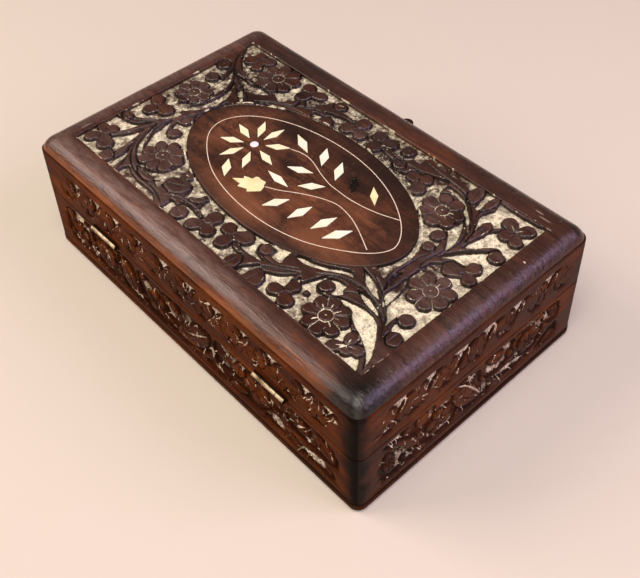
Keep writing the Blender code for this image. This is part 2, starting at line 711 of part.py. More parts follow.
def sunk_row(side):
    """Return the cutter for one wall's sunk ground, less what stands in it."""
    row = LONG_ROW_SHARES if side in LONG_SIDES else SHORT_ROW_SHARES
    face = HALF_DEPTH if side in LONG_SIDES else HALF_LENGTH
    outlines = [[on_row(side, place) for place in ground] for ground in row["ground"]]
    name = "sunk_row_" + side
    ground = stand_up(slab(name, outlines, face - ROW_DEPTH, face + OVERRUN), side)
    for kind, shapes in standing_row(side).items():
        low, high = face - ROW_DEPTH - OVERRUN, face + 2 * OVERRUN
        shape = stand_up(slab(name + kind, shapes, low, high), side)
        apply_boolean(ground, hide_cutter(shape), "DIFFERENCE")
    return hide_cutter(ground)


def base_wall(side):
    """Model one wall of the base, with its carving's sunk ground."""
    name = "base_" + side + "_wall"
    wall = slab(name, [wall_outline(side)], WALL_FOOT, BASE_TOP)
    ease_edges(wall, WALL_EDGE_EASE, WALL_EASE_STEPS)
    apply_boolean(wall, sunk_row(side), "DIFFERENCE")
    if side == "back":
        cut_for_hinges(wall, -1)
    return finish_part(wall, name, WOOD)


def base_lining():
    """Model the felt on the floor of the base."""
    half_x = HALF_LENGTH - WALL - LINING_MARGIN
    half_y = HALF_DEPTH - WALL - LINING_MARGIN
    low_z = BOTTOM_BOARD + GAP
    sheet = box("base_lining", (-half_x, -half_y, low_z), (half_x, half_y, low_z + LINING))
    return finish_part(sheet, "base_lining", FELT)


def lid_rail(side):
    """Model one of the four rails under the top board."""
    name = "lid_" + side + "_rail"
    rail = slab(name, [wall_outline(side)], LID_BOTTOM, RAIL_TOP)
    ease_edges(rail, WALL_EDGE_EASE, WALL_EASE_STEPS)
    if side == "back":
        cut_for_hinges(rail, 1)
    if side == "front":
        start = (0, -HALF_DEPTH - OVERRUN, tenon_height())
        end = (0, -HALF_DEPTH + TENON_LENGTH + GAP, tenon_height())
        radius = TENON_DIAMETER / 2 + GAP
        hole = hide_cutter(cylinder("tenon_hole", start, end, radius, TAB_STEPS))
        apply_boolean(rail, hole, "DIFFERENCE")
    return finish_part(rail, name, WOOD)


def medallion_outline():
    """Return the oval edge of the medallion."""
    points = []
    for step in range(MEDALLION_STEPS):
        angle = 2 * math.pi * step / MEDALLION_STEPS
        x = MEDALLION_LENGTH / 2 * math.cos(angle)
        y = MEDALLION_WIDTH / 2 * math.sin(angle)
        points.append((x, y))
    return points


def on_medallion(shares):
    """Return a place on the medallion from shares of its half sizes."""
    return (shares[0] * MEDALLION_LENGTH / 2, shares[1] * MEDALLION_WIDTH / 2)


def oval_outline(offset):
    """Return the inlaid oval, round at the flower's end and pointed at the other."""
    centre_x, centre_y = on_medallion(OVAL_CENTRE_SHARES)
    half_x = OVAL_LENGTH / 2 + offset
    half_y = OVAL_WIDTH / 2 + offset
    points = []
    for step in range(OVAL_STEPS):
        angle = 2 * math.pi * step / OVAL_STEPS
        along = math.cos(angle)
        power = OVAL_ROUND_END_POWER if along > 0 else OVAL_POINTED_END_POWER
        across = math.copysign(abs(math.sin(angle)) ** power, math.sin(angle))
        points.append((centre_x + half_x * along, centre_y + half_y * across))
    return points


def signed_area(points):
    """Return twice the area of an outline, positive when it runs anticlockwise."""
    total = 0
    for here, after in zip(points, points[1:] + points[:1]):
        total += here[0] * after[1] - after[0] * here[1]
    return total


def offset_outline(points, offset):
    """Return an outline moved outwards by an even distance."""
    side = math.copysign(1, signed_area(points))
    count = len(points)
    moved = []
    for index in range(count):
        before = Vector(points[index - 1])
        here = Vector(points[index])
        after = Vector(points[(index + 1) % count])
        run_in = (here - before).normalized()
        run_out = (after - here).normalized()
        normal_in = Vector((run_in.y, -run_in.x)) * side
        normal_out = Vector((run_out.y, -run_out.x)) * side
        bisector = (normal_in + normal_out).normalized()
        reach = offset / max(bisector.dot(normal_in), SHARPEST_CORNER_SHARE)
        moved.append(tuple(here + bisector * reach))
    return moved


def smooth_path(points, steps):
    """Return a smooth line through the points, by a Catmull-Rom spline."""
    padded = [points[0]] + list(points) + [points[-1]]
    line = []
    for index in range(1, len(padded) - 2):
        p0, p1, p2, p3 = (Vector(padded[index + k]) for k in (-1, 0, 1, 2))
        for step in range(steps):
            t = step / steps
            bend = 2 * p0 - 5 * p1 + 4 * p2 - p3
            twist = 3 * p1 - 3 * p2 + p3 - p0
            line.append((2 * p1 + (p2 - p0) * t + bend * t * t + twist * t ** 3) / 2)
    line.append(Vector(points[-1]))
    return line


def strip_outline(path, width, end_reach):
    """Return the outline of a strip of even width along a path."""
    first = (path[0] - path[1]).normalized() * end_reach
    last = (path[-1] - path[-2]).normalized() * end_reach
    path = [path[0] + first] + path[1:-1] + [path[-1] + last]
    left = []
    right = []
    for index, point in enumerate(path):
        before = path[max(index - 1, 0)]
        after = path[min(index + 1, len(path) - 1)]
        run = (after - before).normalized()
        across = Vector((-run.y, run.x)) * width / 2
        left.append(tuple(point + across))
        right.append(tuple(point - across))
    return left + right[::-1]


def stem_outline(shares, margin):
    """Return the outline of a wire stem, widened all round by a margin."""
    path = smooth_path([on_medallion(pair) for pair in shares], STEM_STEPS)
    return strip_outline(path, WIRE_WIDTH + 2 * margin, margin)


def lozenge(centre, length, width, turn, margin):
    """Return a lozenge widened all round by a margin."""
    half_long = length / 2
    half_wide = width / 2
    diagonal = math.hypot(half_long, half_wide)
    growth = 1 + margin * diagonal / (half_long * half_wide)
    turning = Matrix.Rotation(math.radians(turn), 2)
    corners = ((half_long, 0), (0, half_wide), (-half_long, 0), (0, -half_wide))
    points = []
    for corner in corners:
        points.append(tuple(Vector(centre) + turning @ (Vector(corner) * growth)))
    return points


def petal_outlines(margin):
    """Return the eight petals round the flower's centre."""
    centre = Vector(on_medallion(FLOWER_CENTRE_SHARES))
    outlines = []
    for angle in PETAL_ANGLES:
        away = Vector((math.cos(math.radians(angle)), math.sin(math.radians(angle))))
        middle = centre + away * (PETAL_INNER_RADIUS + PETAL_LENGTH / 2)
        outlines.append(lozenge(middle, PETAL_LENGTH, PETAL_WIDTH, angle, margin))
    return outlines


def leaf_outlines(shares, margin):
    """Return one group of loose leaves."""
    outlines = []
    for share_x, share_y, turn in shares:
        centre = on_medallion((share_x, share_y))
        outlines.append(lozenge(centre, LEAF_LENGTH, LEAF_WIDTH, turn, margin))
    return outlines


def toothed_leaf_outline(margin):
    """Return the toothed leaf at the end of the sprig."""
    centre_x, centre_y = on_medallion(TOOTHED_LEAF_CENTRE_SHARES)
    points = []
    for share_x, share_y in TOOTHED_LEAF_SHARES:
        x = centre_x + share_x * TOOTHED_LEAF_LENGTH
        y = centre_y + share_y * TOOTHED_LEAF_WIDTH
        points.append((x, y))
    return offset_outline(points, margin)


def dot_outline(margin):
    """Return the round dot in the middle of the flower."""
    centre_x, centre_y = on_medallion(FLOWER_CENTRE_SHARES)
    radius = CENTRE_DOT_DIAMETER / 2 + margin
    return arc(centre_x, centre_y, radius, 0, 360, DOT_STEPS)[:-1]


def oval_ring_outlines(margin):
    """Return the outer and inner edges of the inlaid oval wire."""
    half = WIRE_WIDTH / 2 + margin
    return [oval_outline(half), oval_outline(-half)]


def inlay_outlines(margin):
    """Return the outlines of the inlay by kind: a list of pieces, each a list of outlines."""
    return {
        "inlay_petal": [[petal] for petal in petal_outlines(margin)],
        "inlay_flower_centre": [[dot_outline(margin)]],
        "inlay_flower_leaf": [[leaf] for leaf in leaf_outlines(FLOWER_LEAF_SHARES, margin)],
        "inlay_sprig_leaf": [[leaf] for leaf in leaf_outlines(SPRIG_LEAF_SHARES, margin)],
        "inlay_scattered_leaf": [[leaf] for leaf in leaf_outlines(SCATTERED_LEAF_SHARES, margin)],
        "inlay_toothed_leaf": [[toothed_leaf_outline(margin)]],
        "inlay_oval_wire": [oval_ring_outlines(margin)],
        "inlay_flower_stem": [[stem_outline(FLOWER_STEM_SHARES, margin)]],
        "inlay_sprig_stem": [[stem_outline(SPRIG_STEM_SHARES, margin)]],
    }


def corner_outlines():
    """Return what is cut off at the four corners to leave them round."""
    near_x = HALF_LENGTH - CORNER_RADIUS
    near_y = HALF_DEPTH - CORNER_RADIUS
    far_x = HALF_LENGTH + OVERRUN
    far_y = HALF_DEPTH + OVERRUN
    piece = arc(near_x, near_y, CORNER_RADIUS, 0, 90, CORNER_STEPS)
    piece += [(near_x, far_y), (far_x, far_y), (far_x, near_y)]
    outlines = []
    for sign_x, sign_y in ((1, 1), (-1, 1), (-1, -1), (1, -1)):
        outlines.append([(x * sign_x, y * sign_y) for x, y in piece])
    return outlines


def on_field(shares):
    """Return a place on the carved field from shares of its half sizes."""
    half_x = HALF_LENGTH - FIELD_END_BORDER
    half_y = HALF_DEPTH - FIELD_SIDE_BORDER
    return (shares[0] * half_x, shares[1] * half_y)


def scalloped_outline(centre, reach, petal_radius, petals, turn):
    """Return the outline of a carved flower with its petals in a ring."""
    half_apart = reach * math.sin(math.pi / petals)
    overlap = math.degrees(math.acos(min(1.0, half_apart / petal_radius)))
    spread = 90 + 180 / petals - overlap
    points = []
    for petal in range(petals):
        angle = turn + 360 * petal / petals
        x = centre[0] + reach * math.cos(math.radians(angle))
        y = centre[1] + reach * math.sin(math.radians(angle))
        points += arc(x, y, petal_radius, angle - spread, angle + spread, CARVED_PETAL_STEPS)
    return points


def rosette_outlines():
    """Return the outlines of the large carved flowers."""
    outlines = []
    for share_x, share_y, size, petals, turn in ROSETTE_SHARES:
        reach = ROSETTE_DIAMETER * ROSETTE_REACH_SHARE * size
        petal_radius = ROSETTE_DIAMETER * ROSETTE_PETAL_SHARE * size
        centre = on_field((share_x, share_y))
        outlines.append(scalloped_outline(centre, reach, petal_radius, petals, turn))
    return outlines


def small_flower_outlines():
    """Return the outlines of the small carved flowers."""
    outlines = []
    for share_x, share_y, petals, turn in SMALL_FLOWER_SHARES:
        centre = on_field((share_x, share_y))
        radius = SMALL_PETAL_DIAMETER / 2
        outlines.append(scalloped_outline(centre, SMALL_FLOWER_REACH, radius, petals, turn))
    return outlines


def bud_outlines():
    """Return the outlines of the round carved buds."""
    outlines = []
    for shares in BUD_SHARES:
        x, y = on_field(shares)
        outlines.append(arc(x, y, BUD_DIAMETER / 2, 0, 360, BUD_STEPS)[:-1])
    return outlines


def sunk_ground(high_z):
    """Return the cutter for the sunk ground, less the flowers, buds and medallion in it."""
    floor = BOX_HEIGHT - FIELD_DEPTH
    outlines = [[on_field(shares) for shares in ground] for ground in GROUND_SHARES.values()]
    ground = slab("sunk_ground", outlines, floor, high_z)
    standing = {
        "standing_medallion": [medallion_outline()],
        "standing_rosettes": rosette_outlines(),
        "standing_flowers": small_flower_outlines(),
        "standing_buds": bud_outlines(),
    }
    for name, shapes in standing.items():
        shape = slab(name, shapes, floor - OVERRUN, high_z + OVERRUN)
        apply_boolean(ground, hide_cutter(shape), "DIFFERENCE")
    return ground


def lid_top_board():
    """Model the top board with its round edge, carved field, medallion and inlay pockets."""
    blank_z = BOX_HEIGHT - ROUNDED_BLANK
    low = (-HALF_LENGTH, -HALF_DEPTH, blank_z)
    board = box("lid_top_board", low, (HALF_LENGTH, HALF_DEPTH, BOX_HEIGHT))
    rounding = min(TOP_EDGE_ROUND, ROUNDED_BLANK * EDGE_ROUND_LIMIT_SHARE)
    round_rim(board, BOX_HEIGHT, rounding, EDGE_ROUND_STEPS)
    low_z = blank_z - OVERRUN
    high_z = BOX_HEIGHT + OVERRUN
    low = (-HALF_LENGTH - OVERRUN, -HALF_DEPTH - OVERRUN, low_z)
    high = (HALF_LENGTH + OVERRUN, HALF_DEPTH + OVERRUN, BOARD_UNDERSIDE)
    apply_boolean(board, hide_cutter(box("below_the_board", low, high)), "DIFFERENCE")
    corners = slab("round_corners", corner_outlines(), low_z, high_z)
    apply_boolean(board, hide_cutter(corners), "DIFFERENCE")
    apply_boolean(board, hide_cutter(sunk_ground(high_z)), "DIFFERENCE")
    floor = BOX_HEIGHT - INLAY_THICKNESS - GAP
    pockets = inlay_outlines(GAP)
    pockets["lost_leaf"] = [leaf_outlines([LOST_LEAF_SHARES], GAP)]
    for kind, pieces in pockets.items():
        outlines = [outline for piece in pieces for outline in piece]
        pocket = slab(kind + "_pocket", outlines, floor, high_z)
        apply_boolean(board, hide_cutter(pocket), "DIFFERENCE")
    return finish_part(board, "lid_top_board", WOOD)


def inlay_pieces():
    """Model the bone and wire pieces let into the medallion, each on its own."""
    pieces = []
    for kind, group in inlay_outlines(0).items():
        colour = BRASS if kind.endswith(("wire", "stem")) else BONE
        for number, outlines in enumerate(group, start=1):
            name = kind if len(group) == 1 else kind + "_" + str(number)
            piece = slab(name, outlines, BOX_HEIGHT - INLAY_THICKNESS, BOX_HEIGHT)
            pieces.append(finish_part(piece, name, colour))
    return pieces


def knuckle_spans(place):
    """Return where the three knuckles of a hinge lie along X."""
    half = HINGE_LENGTH / 2
    middle = MIDDLE_KNUCKLE / 2
    ends = [(place - half, place - middle - GAP), (place + middle + GAP, place + half)]
    return ends, [(place - middle, place + middle)]


def hinge_leaf(name, place, sign):
    """Model one plate of a hinge with its knuckles, pin hole and nail holes.

    sign is -1 for the base plate, with the end knuckles, and 1 for the lid plate, with
    the middle knuckle.
    """
    own, other = knuckle_spans(place)
    if sign > 0:
        own, other = other, own
    half = HINGE_LENGTH / 2
    face = SEAM_HEIGHT + sign * GAP / 2
    low_z, high_z = sorted((face, face + sign * LEAF_PLATE))
    low = (place - half, HALF_DEPTH - LEAF_PLATE_WIDTH, low_z)
    leaf = box(name, low, (place + half, AXIS_Y, high_z))
    clear_y = AXIS_Y - BARREL_RADIUS - GAP
    for index, (start, end) in enumerate(other):
        low = (start - GAP, clear_y, low_z - OVERRUN)
        high = (end + GAP, AXIS_Y + OVERRUN, high_z + OVERRUN)
        notch = hide_cutter(box(name + "_notch_" + str(index), low, high))
        apply_boolean(leaf, notch, "DIFFERENCE")
    for index, (start, end) in enumerate(own):
        ends = (start, AXIS_Y, SEAM_HEIGHT), (end, AXIS_Y, SEAM_HEIGHT)
        knuckle = cylinder(name + "_knuckle_" + str(index), *ends, BARREL_RADIUS, BARREL_STEPS)
        apply_boolean(leaf, hide_cutter(knuckle), "UNION")
    start = (place - half - OVERRUN, AXIS_Y, SEAM_HEIGHT)
    end = (place + half + OVERRUN, AXIS_Y, SEAM_HEIGHT)
    bore = hide_cutter(cylinder(name + "_bore", start, end, PIN_DIAMETER / 2 + GAP, PIN_STEPS))
    apply_boolean(leaf, bore, "DIFFERENCE")
    radius = NAIL_HEAD_DIAMETER / 2 + GAP
    for x, y in nail_places(place):
        hole = nail_hole(name + "_hole", x, y, low_z - OVERRUN, high_z + OVERRUN, radius)
        apply_boolean(leaf, hole, "DIFFERENCE")
    return finish_part(leaf, name, BRASS)


def hinge_pin(name, place):
    """Model the pin through a hinge's knuckles."""
    start = (place - HINGE_LENGTH / 2, AXIS_Y, SEAM_HEIGHT)
    end = (place + HINGE_LENGTH / 2, AXIS_Y, SEAM_HEIGHT)
    pin = cylinder(name, start, end, PIN_DIAMETER / 2, PIN_STEPS)
    return finish_part(pin, name, BRASS)


def hinge_nails(name, place, sign):
    """Model the two nails that hold one hinge plate.

    A nail is turned from a profile of radius and height that runs from top to bottom.
    """
    face = SEAM_HEIGHT + sign * GAP / 2
    seat = face + sign * LEAF_PLATE
    tip = face + sign * NAIL_LENGTH
    profile = [
        (0, seat - sign * NAIL_HEAD),
        (NAIL_HEAD_DIAMETER / 2, seat - sign * NAIL_HEAD),
        (NAIL_HEAD_DIAMETER / 2, seat),
        (NAIL_SHANK_DIAMETER / 2, seat),
        (NAIL_SHANK_DIAMETER / 2, tip - sign * NAIL_POINT),
        (0, tip),
    ]
    if sign > 0:
        profile.reverse()
    nails = []
    for number, (x, y) in enumerate(nail_places(place), start=1):
        nail_name = name + "_" + str(number)
        nail = turned(nail_name, profile, x, y, NAIL_STEPS)
        nails.append(finish_part(nail, nail_name, BRASS))
    return nails


def turned(name, profile, x, y, steps):
    """Return a piece turned about an upright axis from a profile of radius and height."""
    mesh = bpy.data.meshes.new(name)
    points = [(radius, 0, z) for radius, z in profile]
    edges = [(index, index + 1) for index in range(len(points) - 1)]
    mesh.from_pydata(points, edges, [])
    piece = bpy.data.objects.new(name, mesh)
    piece.location = (x, y, 0)
    bpy.context.scene.collection.objects.link(piece)
    screw = piece.modifiers.new("turned", "SCREW")
    screw.axis = "Z"
    screw.angle = 2 * math.pi
    screw.steps = steps
    screw.render_steps = steps
    screw.use_merge_vertices = True
    screw.merge_threshold = WELD_DISTANCE
    screw.use_smooth_shade = True
    bpy.context.view_layer.update()
    return piece


def tenon_height():
    """Return the height of the tab's tenon, in the front rail."""
    return RAIL_TOP - TENON_DROP


def thumb_tab():
    """Model the tab that a thumb lifts the lid by, with its tenon in the front rail."""
    half = TAB_WIDTH / 2
    back_y = -HALF_DEPTH - GAP
    centre_y = -HALF_DEPTH - TAB_REACH + half
    outline = [(half, back_y)]
    outline += arc(0, centre_y, half, 0, -180, TAB_STEPS)
    outline.append((-half, back_y))
    top_z = BOX_HEIGHT - TAB_TOP_DROP
    tab = slab("thumb_tab", [outline], top_z - TAB_THICKNESS, top_z)
    ease_edges(tab, TAB_EDGE_EASE, TAB_EASE_STEPS)
    start = (0, back_y - TENON_ROOT, tenon_height())
    end = (0, -HALF_DEPTH + TENON_LENGTH, tenon_height())
    tenon = cylinder("tenon", start, end, TENON_DIAMETER / 2, TAB_STEPS)
    apply_boolean(tab, hide_cutter(tenon), "UNION")
    return finish_part(tab, "thumb_tab", WOOD)


def hinge(side, place):
    """Model one hinge and return the pieces that go with the lid."""
    name = "hinge_" + side
    hinge_leaf(name + "_base_leaf", place, -1)
    hinge_pin(name + "_pin", place)
    hinge_nails(name + "_base_nail", place, -1)
    return [hinge_leaf(name + "_lid_leaf", place, 1)] + hinge_nails(name + "_lid_nail", place, 1)


def lid_pivot():
    """Return the empty on the hinge axis that carries the lid."""
    pivot = bpy.data.objects.new("lid_pivot", None)
    pivot.location = (0, AXIS_Y, SEAM_HEIGHT)
    PARTS.objects.link(pivot)
    bpy.context.view_layer.update()
    return pivot


def hang_on(pivot, pieces):
    """Parent pieces to the pivot, with each left where it is."""
    for piece in pieces:
        piece.parent = pivot
        piece.matrix_parent_inverse = pivot.matrix_world.inverted()


def main():
    """Model the whole box."""
    base_bottom_board()
    base_lining()
    lid_pieces = [lid_top_board(), thumb_tab()]
    for side in SIDES:
        base_wall(side)
        lid_pieces.append(lid_rail(side))
    for side, place in HINGE_PLACES.items():
        lid_pieces += hinge(side, place)
    lid_pieces += inlay_pieces()
    hang_on(lid_pivot(), lid_pieces)


clear_scene()
PARTS = new_collection("trinket_box")
CUTTERS = new_collection("cutters")
WOOD = new_material("sheesham", colour=(0.13, 0.035, 0.018), roughness=0.38, metallic=0.0)
BONE = new_material("bone", colour=(0.86, 0.80, 0.56), roughness=0.45, metallic=0.0)
BRASS = new_material("brass", colour=(0.72, 0.60, 0.36), roughness=0.35, metallic=1.0)
FELT = new_material("felt", colour=(0.20, 0.015, 0.025), roughness=0.95, metallic=0.0)
main()
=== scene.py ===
"""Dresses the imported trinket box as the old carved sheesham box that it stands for.

Sizes are in millimetres in the frame of the CAD: x along the long sides, y towards the hinges,
z up. The functions under "Meshes" turn them into metres.
"""

import logging
import math
import sys
from dataclasses import dataclass, field
from enum import Enum
from typing import Optional, Sequence

import bmesh
import bpy
import numpy as np
from mathutils import Matrix, Vector


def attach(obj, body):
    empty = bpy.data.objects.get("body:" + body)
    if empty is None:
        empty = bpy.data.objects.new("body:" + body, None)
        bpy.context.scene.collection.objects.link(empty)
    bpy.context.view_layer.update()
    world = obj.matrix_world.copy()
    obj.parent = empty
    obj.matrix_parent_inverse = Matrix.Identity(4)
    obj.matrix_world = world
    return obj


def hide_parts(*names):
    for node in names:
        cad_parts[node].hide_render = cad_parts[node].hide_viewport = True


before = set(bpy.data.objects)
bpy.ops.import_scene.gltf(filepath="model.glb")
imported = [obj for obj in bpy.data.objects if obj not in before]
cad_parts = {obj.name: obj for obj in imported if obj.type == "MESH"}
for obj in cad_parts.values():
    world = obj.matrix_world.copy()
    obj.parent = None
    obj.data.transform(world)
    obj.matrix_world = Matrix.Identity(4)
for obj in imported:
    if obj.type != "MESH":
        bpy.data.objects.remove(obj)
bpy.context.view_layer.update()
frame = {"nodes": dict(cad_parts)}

MM = 0.001
FAR = 1e3
TINY = 1e-12
WELD = 2e-6
SHARP = 38.0
OUTLINE_STEPS = 4
OUTLINE_PULL = 0.4
PATH_STEPS = 6
log = logging.getLogger("trinket_box")

Array = np.ndarray
Material = bpy.types.Material
Mesh = bpy.types.Mesh
Piece = bpy.types.Object
Socket = bpy.types.NodeSocket
Point = tuple[float, float]
Triple = tuple[float, float, float]
Tone = tuple[float, float, float]
Outline = Sequence[Point]
Path = Sequence[Sequence[float]]
Window = tuple[slice, slice]
Paint = dict[str, Array]


class Grain(Enum):
    """Which way the wood runs in a piece."""

    ALONG = "along the long sides"
    ACROSS = "along the short sides"


class Side(Enum):
    """The four sides of the box, each with the way it faces."""

    FRONT = (0.0, -1.0)
    RIGHT = (1.0, 0.0)
    BACK = (0.0, 1.0)
    LEFT = (-1.0, 0.0)

    @property
    def label(self) -> str:
        """The side's name as the CAD nodes use it."""
        return self.name.lower()

    @property
    def grain(self) -> Grain:
        """The way the wood of this side runs."""
        return Grain.ALONG if self in (Side.FRONT, Side.BACK) else Grain.ACROSS

    @property
    def half_run(self) -> float:
        """Half the length of this side."""
        return BOX.half_length if self.grain is Grain.ALONG else BOX.half_depth

    def place(self, run: Array, out: Array, height: Array) -> Array:
        """Turn places on this side into places in the box.

        Args:
            run: distance to the right of the middle, seen from outside.
            out: distance outwards from the middle of the box.
            height: height over the table.

        Returns:
            The points, one row each.
        """
        out_x, out_y = self.value
        return np.stack([out_x * out - out_y * run, out_y * out + out_x * run, height], -1)


class Storey(Enum):
    """Whether a wall belongs to the base or is a rail of the lid."""

    BASE = "base"
    LID = "lid"


# Sizes shared by the pieces


@dataclass(frozen=True)
class BoxSizes:
    """The box as the CAD has it."""

    half_length: float = 101.5
    half_depth: float = 64.25
    height: float = 63.5
    seam: float = 34.5
    seam_gap: float = 0.3
    corner_radius: float = 4.5
    wall: float = 8.0
    foot: float = 4.6
    board_underside: float = 57.9
    rail_top: float = 57.72
    wall_foot: float = 4.72
    edge_round: float = 8.2
    wall_set_back: float = 0.22
    wood_top: float = 63.42
    field_floor: float = 61.15


BOX = BoxSizes()


# Meshes


def smooth_step(low: float, high: float, value: Array) -> Array:
    """Return 0 below low, 1 above high, and a smooth rise between them."""
    share = np.clip((value - low) / (high - low), 0.0, 1.0)
    return share * share * (3.0 - 2.0 * share)


def hump(value: Array, middle: float, width: float) -> Array:
    """Return 1 where a value is at the middle, falling to 0 over about twice the width."""
    return np.exp(-(((value - middle) / width) ** 2))


def clamp(value: Array) -> Array:
    """Return a value kept between 0 and 1."""
    return np.clip(value, 0.0, 1.0)


def smooth_outline(points: Outline) -> Array:
    """Round a closed outline through its points; its neighbours bend each side."""
    here = np.asarray(points, float)
    after = np.roll(here, -1, 0)
    leave = OUTLINE_PULL * (after - np.roll(here, 1, 0))
    arrive = np.roll(leave, -1, 0)
    share = (np.arange(OUTLINE_STEPS) / OUTLINE_STEPS)[None, :, None]
    square, cube = share**2, share**3
    curve = (2 * cube - 3 * square + 1) * here[:, None] + (cube - 2 * square + share) * leave[:, None]
    curve = curve + (3 * square - 2 * cube) * after[:, None] + (cube - square) * arrive[:, None]
    return curve.reshape(-1, here.shape[1])


def smooth_path(points: Path) -> Array:
    """Round an open path through its points, with any widths as further columns."""
    here = np.asarray(points, float)
    padded = np.vstack([2 * here[0] - here[1], here, 2 * here[-1] - here[-2]])
    share = (np.arange(PATH_STEPS) / PATH_STEPS)[:, None]
    parts = []
    for index in range(len(here) - 1):
        a, b, c, d = padded[index : index + 4]
        bend = 2 * b + (c - a) * share + (2 * a - 5 * b + 4 * c - d) * share**2
        parts.append((bend + (3 * b - a - 3 * c + d) * share**3) / 2)
    return np.vstack(parts + [here[-1:]])


def value_noise(x: Array, y: Array, size: float, seed: int) -> Array:
    """Return smooth noise from -1 to 1 whose bumps are about size wide."""
    table = np.random.default_rng(seed).uniform(-1.0, 1.0, (256, 256))
    across, up = x / size, y / size
    column, row = np.floor(across).astype(int), np.floor(up).astype(int)
    share_x, share_y = (smooth_step(0.0, 1.0, rest) for rest in (across - column, up - row))
    column, row = column % 255, row % 255
    low = table[row, column] * (1 - share_x) + table[row, column + 1] * share_x
    high = table[row + 1, column] * (1 - share_x) + table[row + 1, column + 1] * share_x
    return low * (1 - share_y) + high * share_y


def link(piece: Piece) -> Piece:
    """Put an object in the scene."""
    bpy.context.scene.collection.objects.link(piece)
    return piece


def paint_points(mesh: Mesh, paint: Paint) -> None:
    """Keep values on a mesh's points, under the names that the finishes read."""
    for kind, values in paint.items():
        layer = mesh.attributes.new(kind, "FLOAT", "POINT")
        layer.data.foreach_set("value", np.asarray(values, np.float32).ravel())


def mend_mesh(mesh: Mesh, slivers: bool = True) -> Mesh:
    """Weld a mesh's points, turn its faces outwards and take out any slivers."""
    work = bmesh.new()
    work.from_mesh(mesh)
    bmesh.ops.remove_doubles(work, verts=work.verts, dist=WELD)
    if slivers:
        bmesh.ops.dissolve_degenerate(work, edges=work.edges, dist=WELD)
    bmesh.ops.recalc_face_normals(work, faces=work.faces)
    work.to_mesh(mesh)
    work.free()
    return mesh


def build_piece(
    name: str, points: Array, faces: Sequence[Sequence[int]], material: Material, paint: Paint
) -> Piece:
    """Make one piece at the origin from points in millimetres.

    Args:
        name: the piece's name.
        points: its points.
        faces: the corners of each face.
        material: its finish.
        paint: values for each point that the finish reads, by name.

    Returns:
        The piece, linked to the scene.
    """
    mesh = bpy.data.meshes.new(name)
    mesh.from_pydata((np.asarray(points, float) * MM).tolist(), [], [list(face) for face in faces])
    paint_points(mesh, paint)
    return finish_mesh(name, mend_mesh(mesh), material)


def finish_mesh(name: str, mesh: Mesh, material: Material, sharp: float = SHARP) -> Piece:
    """Shade a mesh, give it its material and put it in the scene."""
    mesh.shade_smooth()
    mesh.set_sharp_from_angle(angle=math.radians(sharp))
    mesh.materials.clear()
    mesh.materials.append(material)
    return link(bpy.data.objects.new(name, mesh))


def put_on(piece: Piece, body: str, nodes: Sequence[str] = ()) -> Piece:
    """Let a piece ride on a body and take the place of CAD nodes."""
    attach(piece, body)
    if nodes:
        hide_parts(*nodes)
    triangles = sum(len(face.vertices) - 2 for face in piece.data.polygons)
    log.info("%s: %d triangles on %s", piece.name, triangles, body)
    return piece


def grid_faces(rows: int, columns: int, closed: bool = False) -> list[tuple[int, int, int, int]]:
    """Return the faces of a grid of points stored row by row.

    Args:
        rows: how many rows.
        columns: how many points in each row.
        closed: whether each row joins up with its own start.

    Returns:
        Four corners for each face.
    """
    last = columns if closed else columns - 1
    faces = []
    for row in range(rows - 1):
        for column in range(last):
            beside = (column + 1) % columns
            low, high = row * columns, (row + 1) * columns
            faces.append((low + column, low + beside, high + beside, high + column))
    return faces


def body_faces(rings: int, count: int, ends: int = -1) -> list[tuple[int, ...]]:
    """Return the faces of a body made of rings of points, closed at both ends.

    Args:
        rings: how many rings.
        count: how many points in each ring.
        ends: -1 where the first end runs against its ring, 1 where the last one does.

    Returns:
        The corners of each face.
    """
    first, last = range(count), range((rings - 1) * count, rings * count)
    return [*grid_faces(rings, count, closed=True), tuple(first[::ends]), tuple(last[::-ends])]


def flat_slab(name: str, outlines: Sequence[Outline], low: float, high: float, ease: float) -> Mesh:
    """Make a flat slab with holes from outlines, with all its edges eased.

    Args:
        name: the name of the mesh.
        outlines: the outside and any holes.
        low: height of its underside.
        high: height of its top.
        ease: width of the eased edge.

    Returns:
        The mesh, in metres.
    """
    curve = bpy.data.curves.new(name, "CURVE")
    curve.dimensions = "2D"
    curve.fill_mode = "BOTH"
    curve.extrude = ((high - low) / 2 - ease) * MM
    curve.bevel_depth = ease * MM
    curve.offset = -ease * MM
    curve.bevel_resolution = 1
    for outline in outlines:
        spline = curve.splines.new("POLY")
        spline.points.add(len(outline) - 1)
        for point, (x, y) in zip(spline.points, outline):
            point.co = (x * MM, y * MM, 0.0, 1.0)
        spline.use_cyclic_u = True
    carrier = link(bpy.data.objects.new(name, curve))
    bpy.context.view_layer.update()
    seen = carrier.evaluated_get(bpy.context.evaluated_depsgraph_get())
    mesh = bpy.data.meshes.new_from_object(seen)
    bpy.data.objects.remove(carrier)
    mesh.transform(Matrix.Translation((0.0, 0.0, (low + high) / 2 * MM)))
    return mend_mesh(mesh)


# Finishes


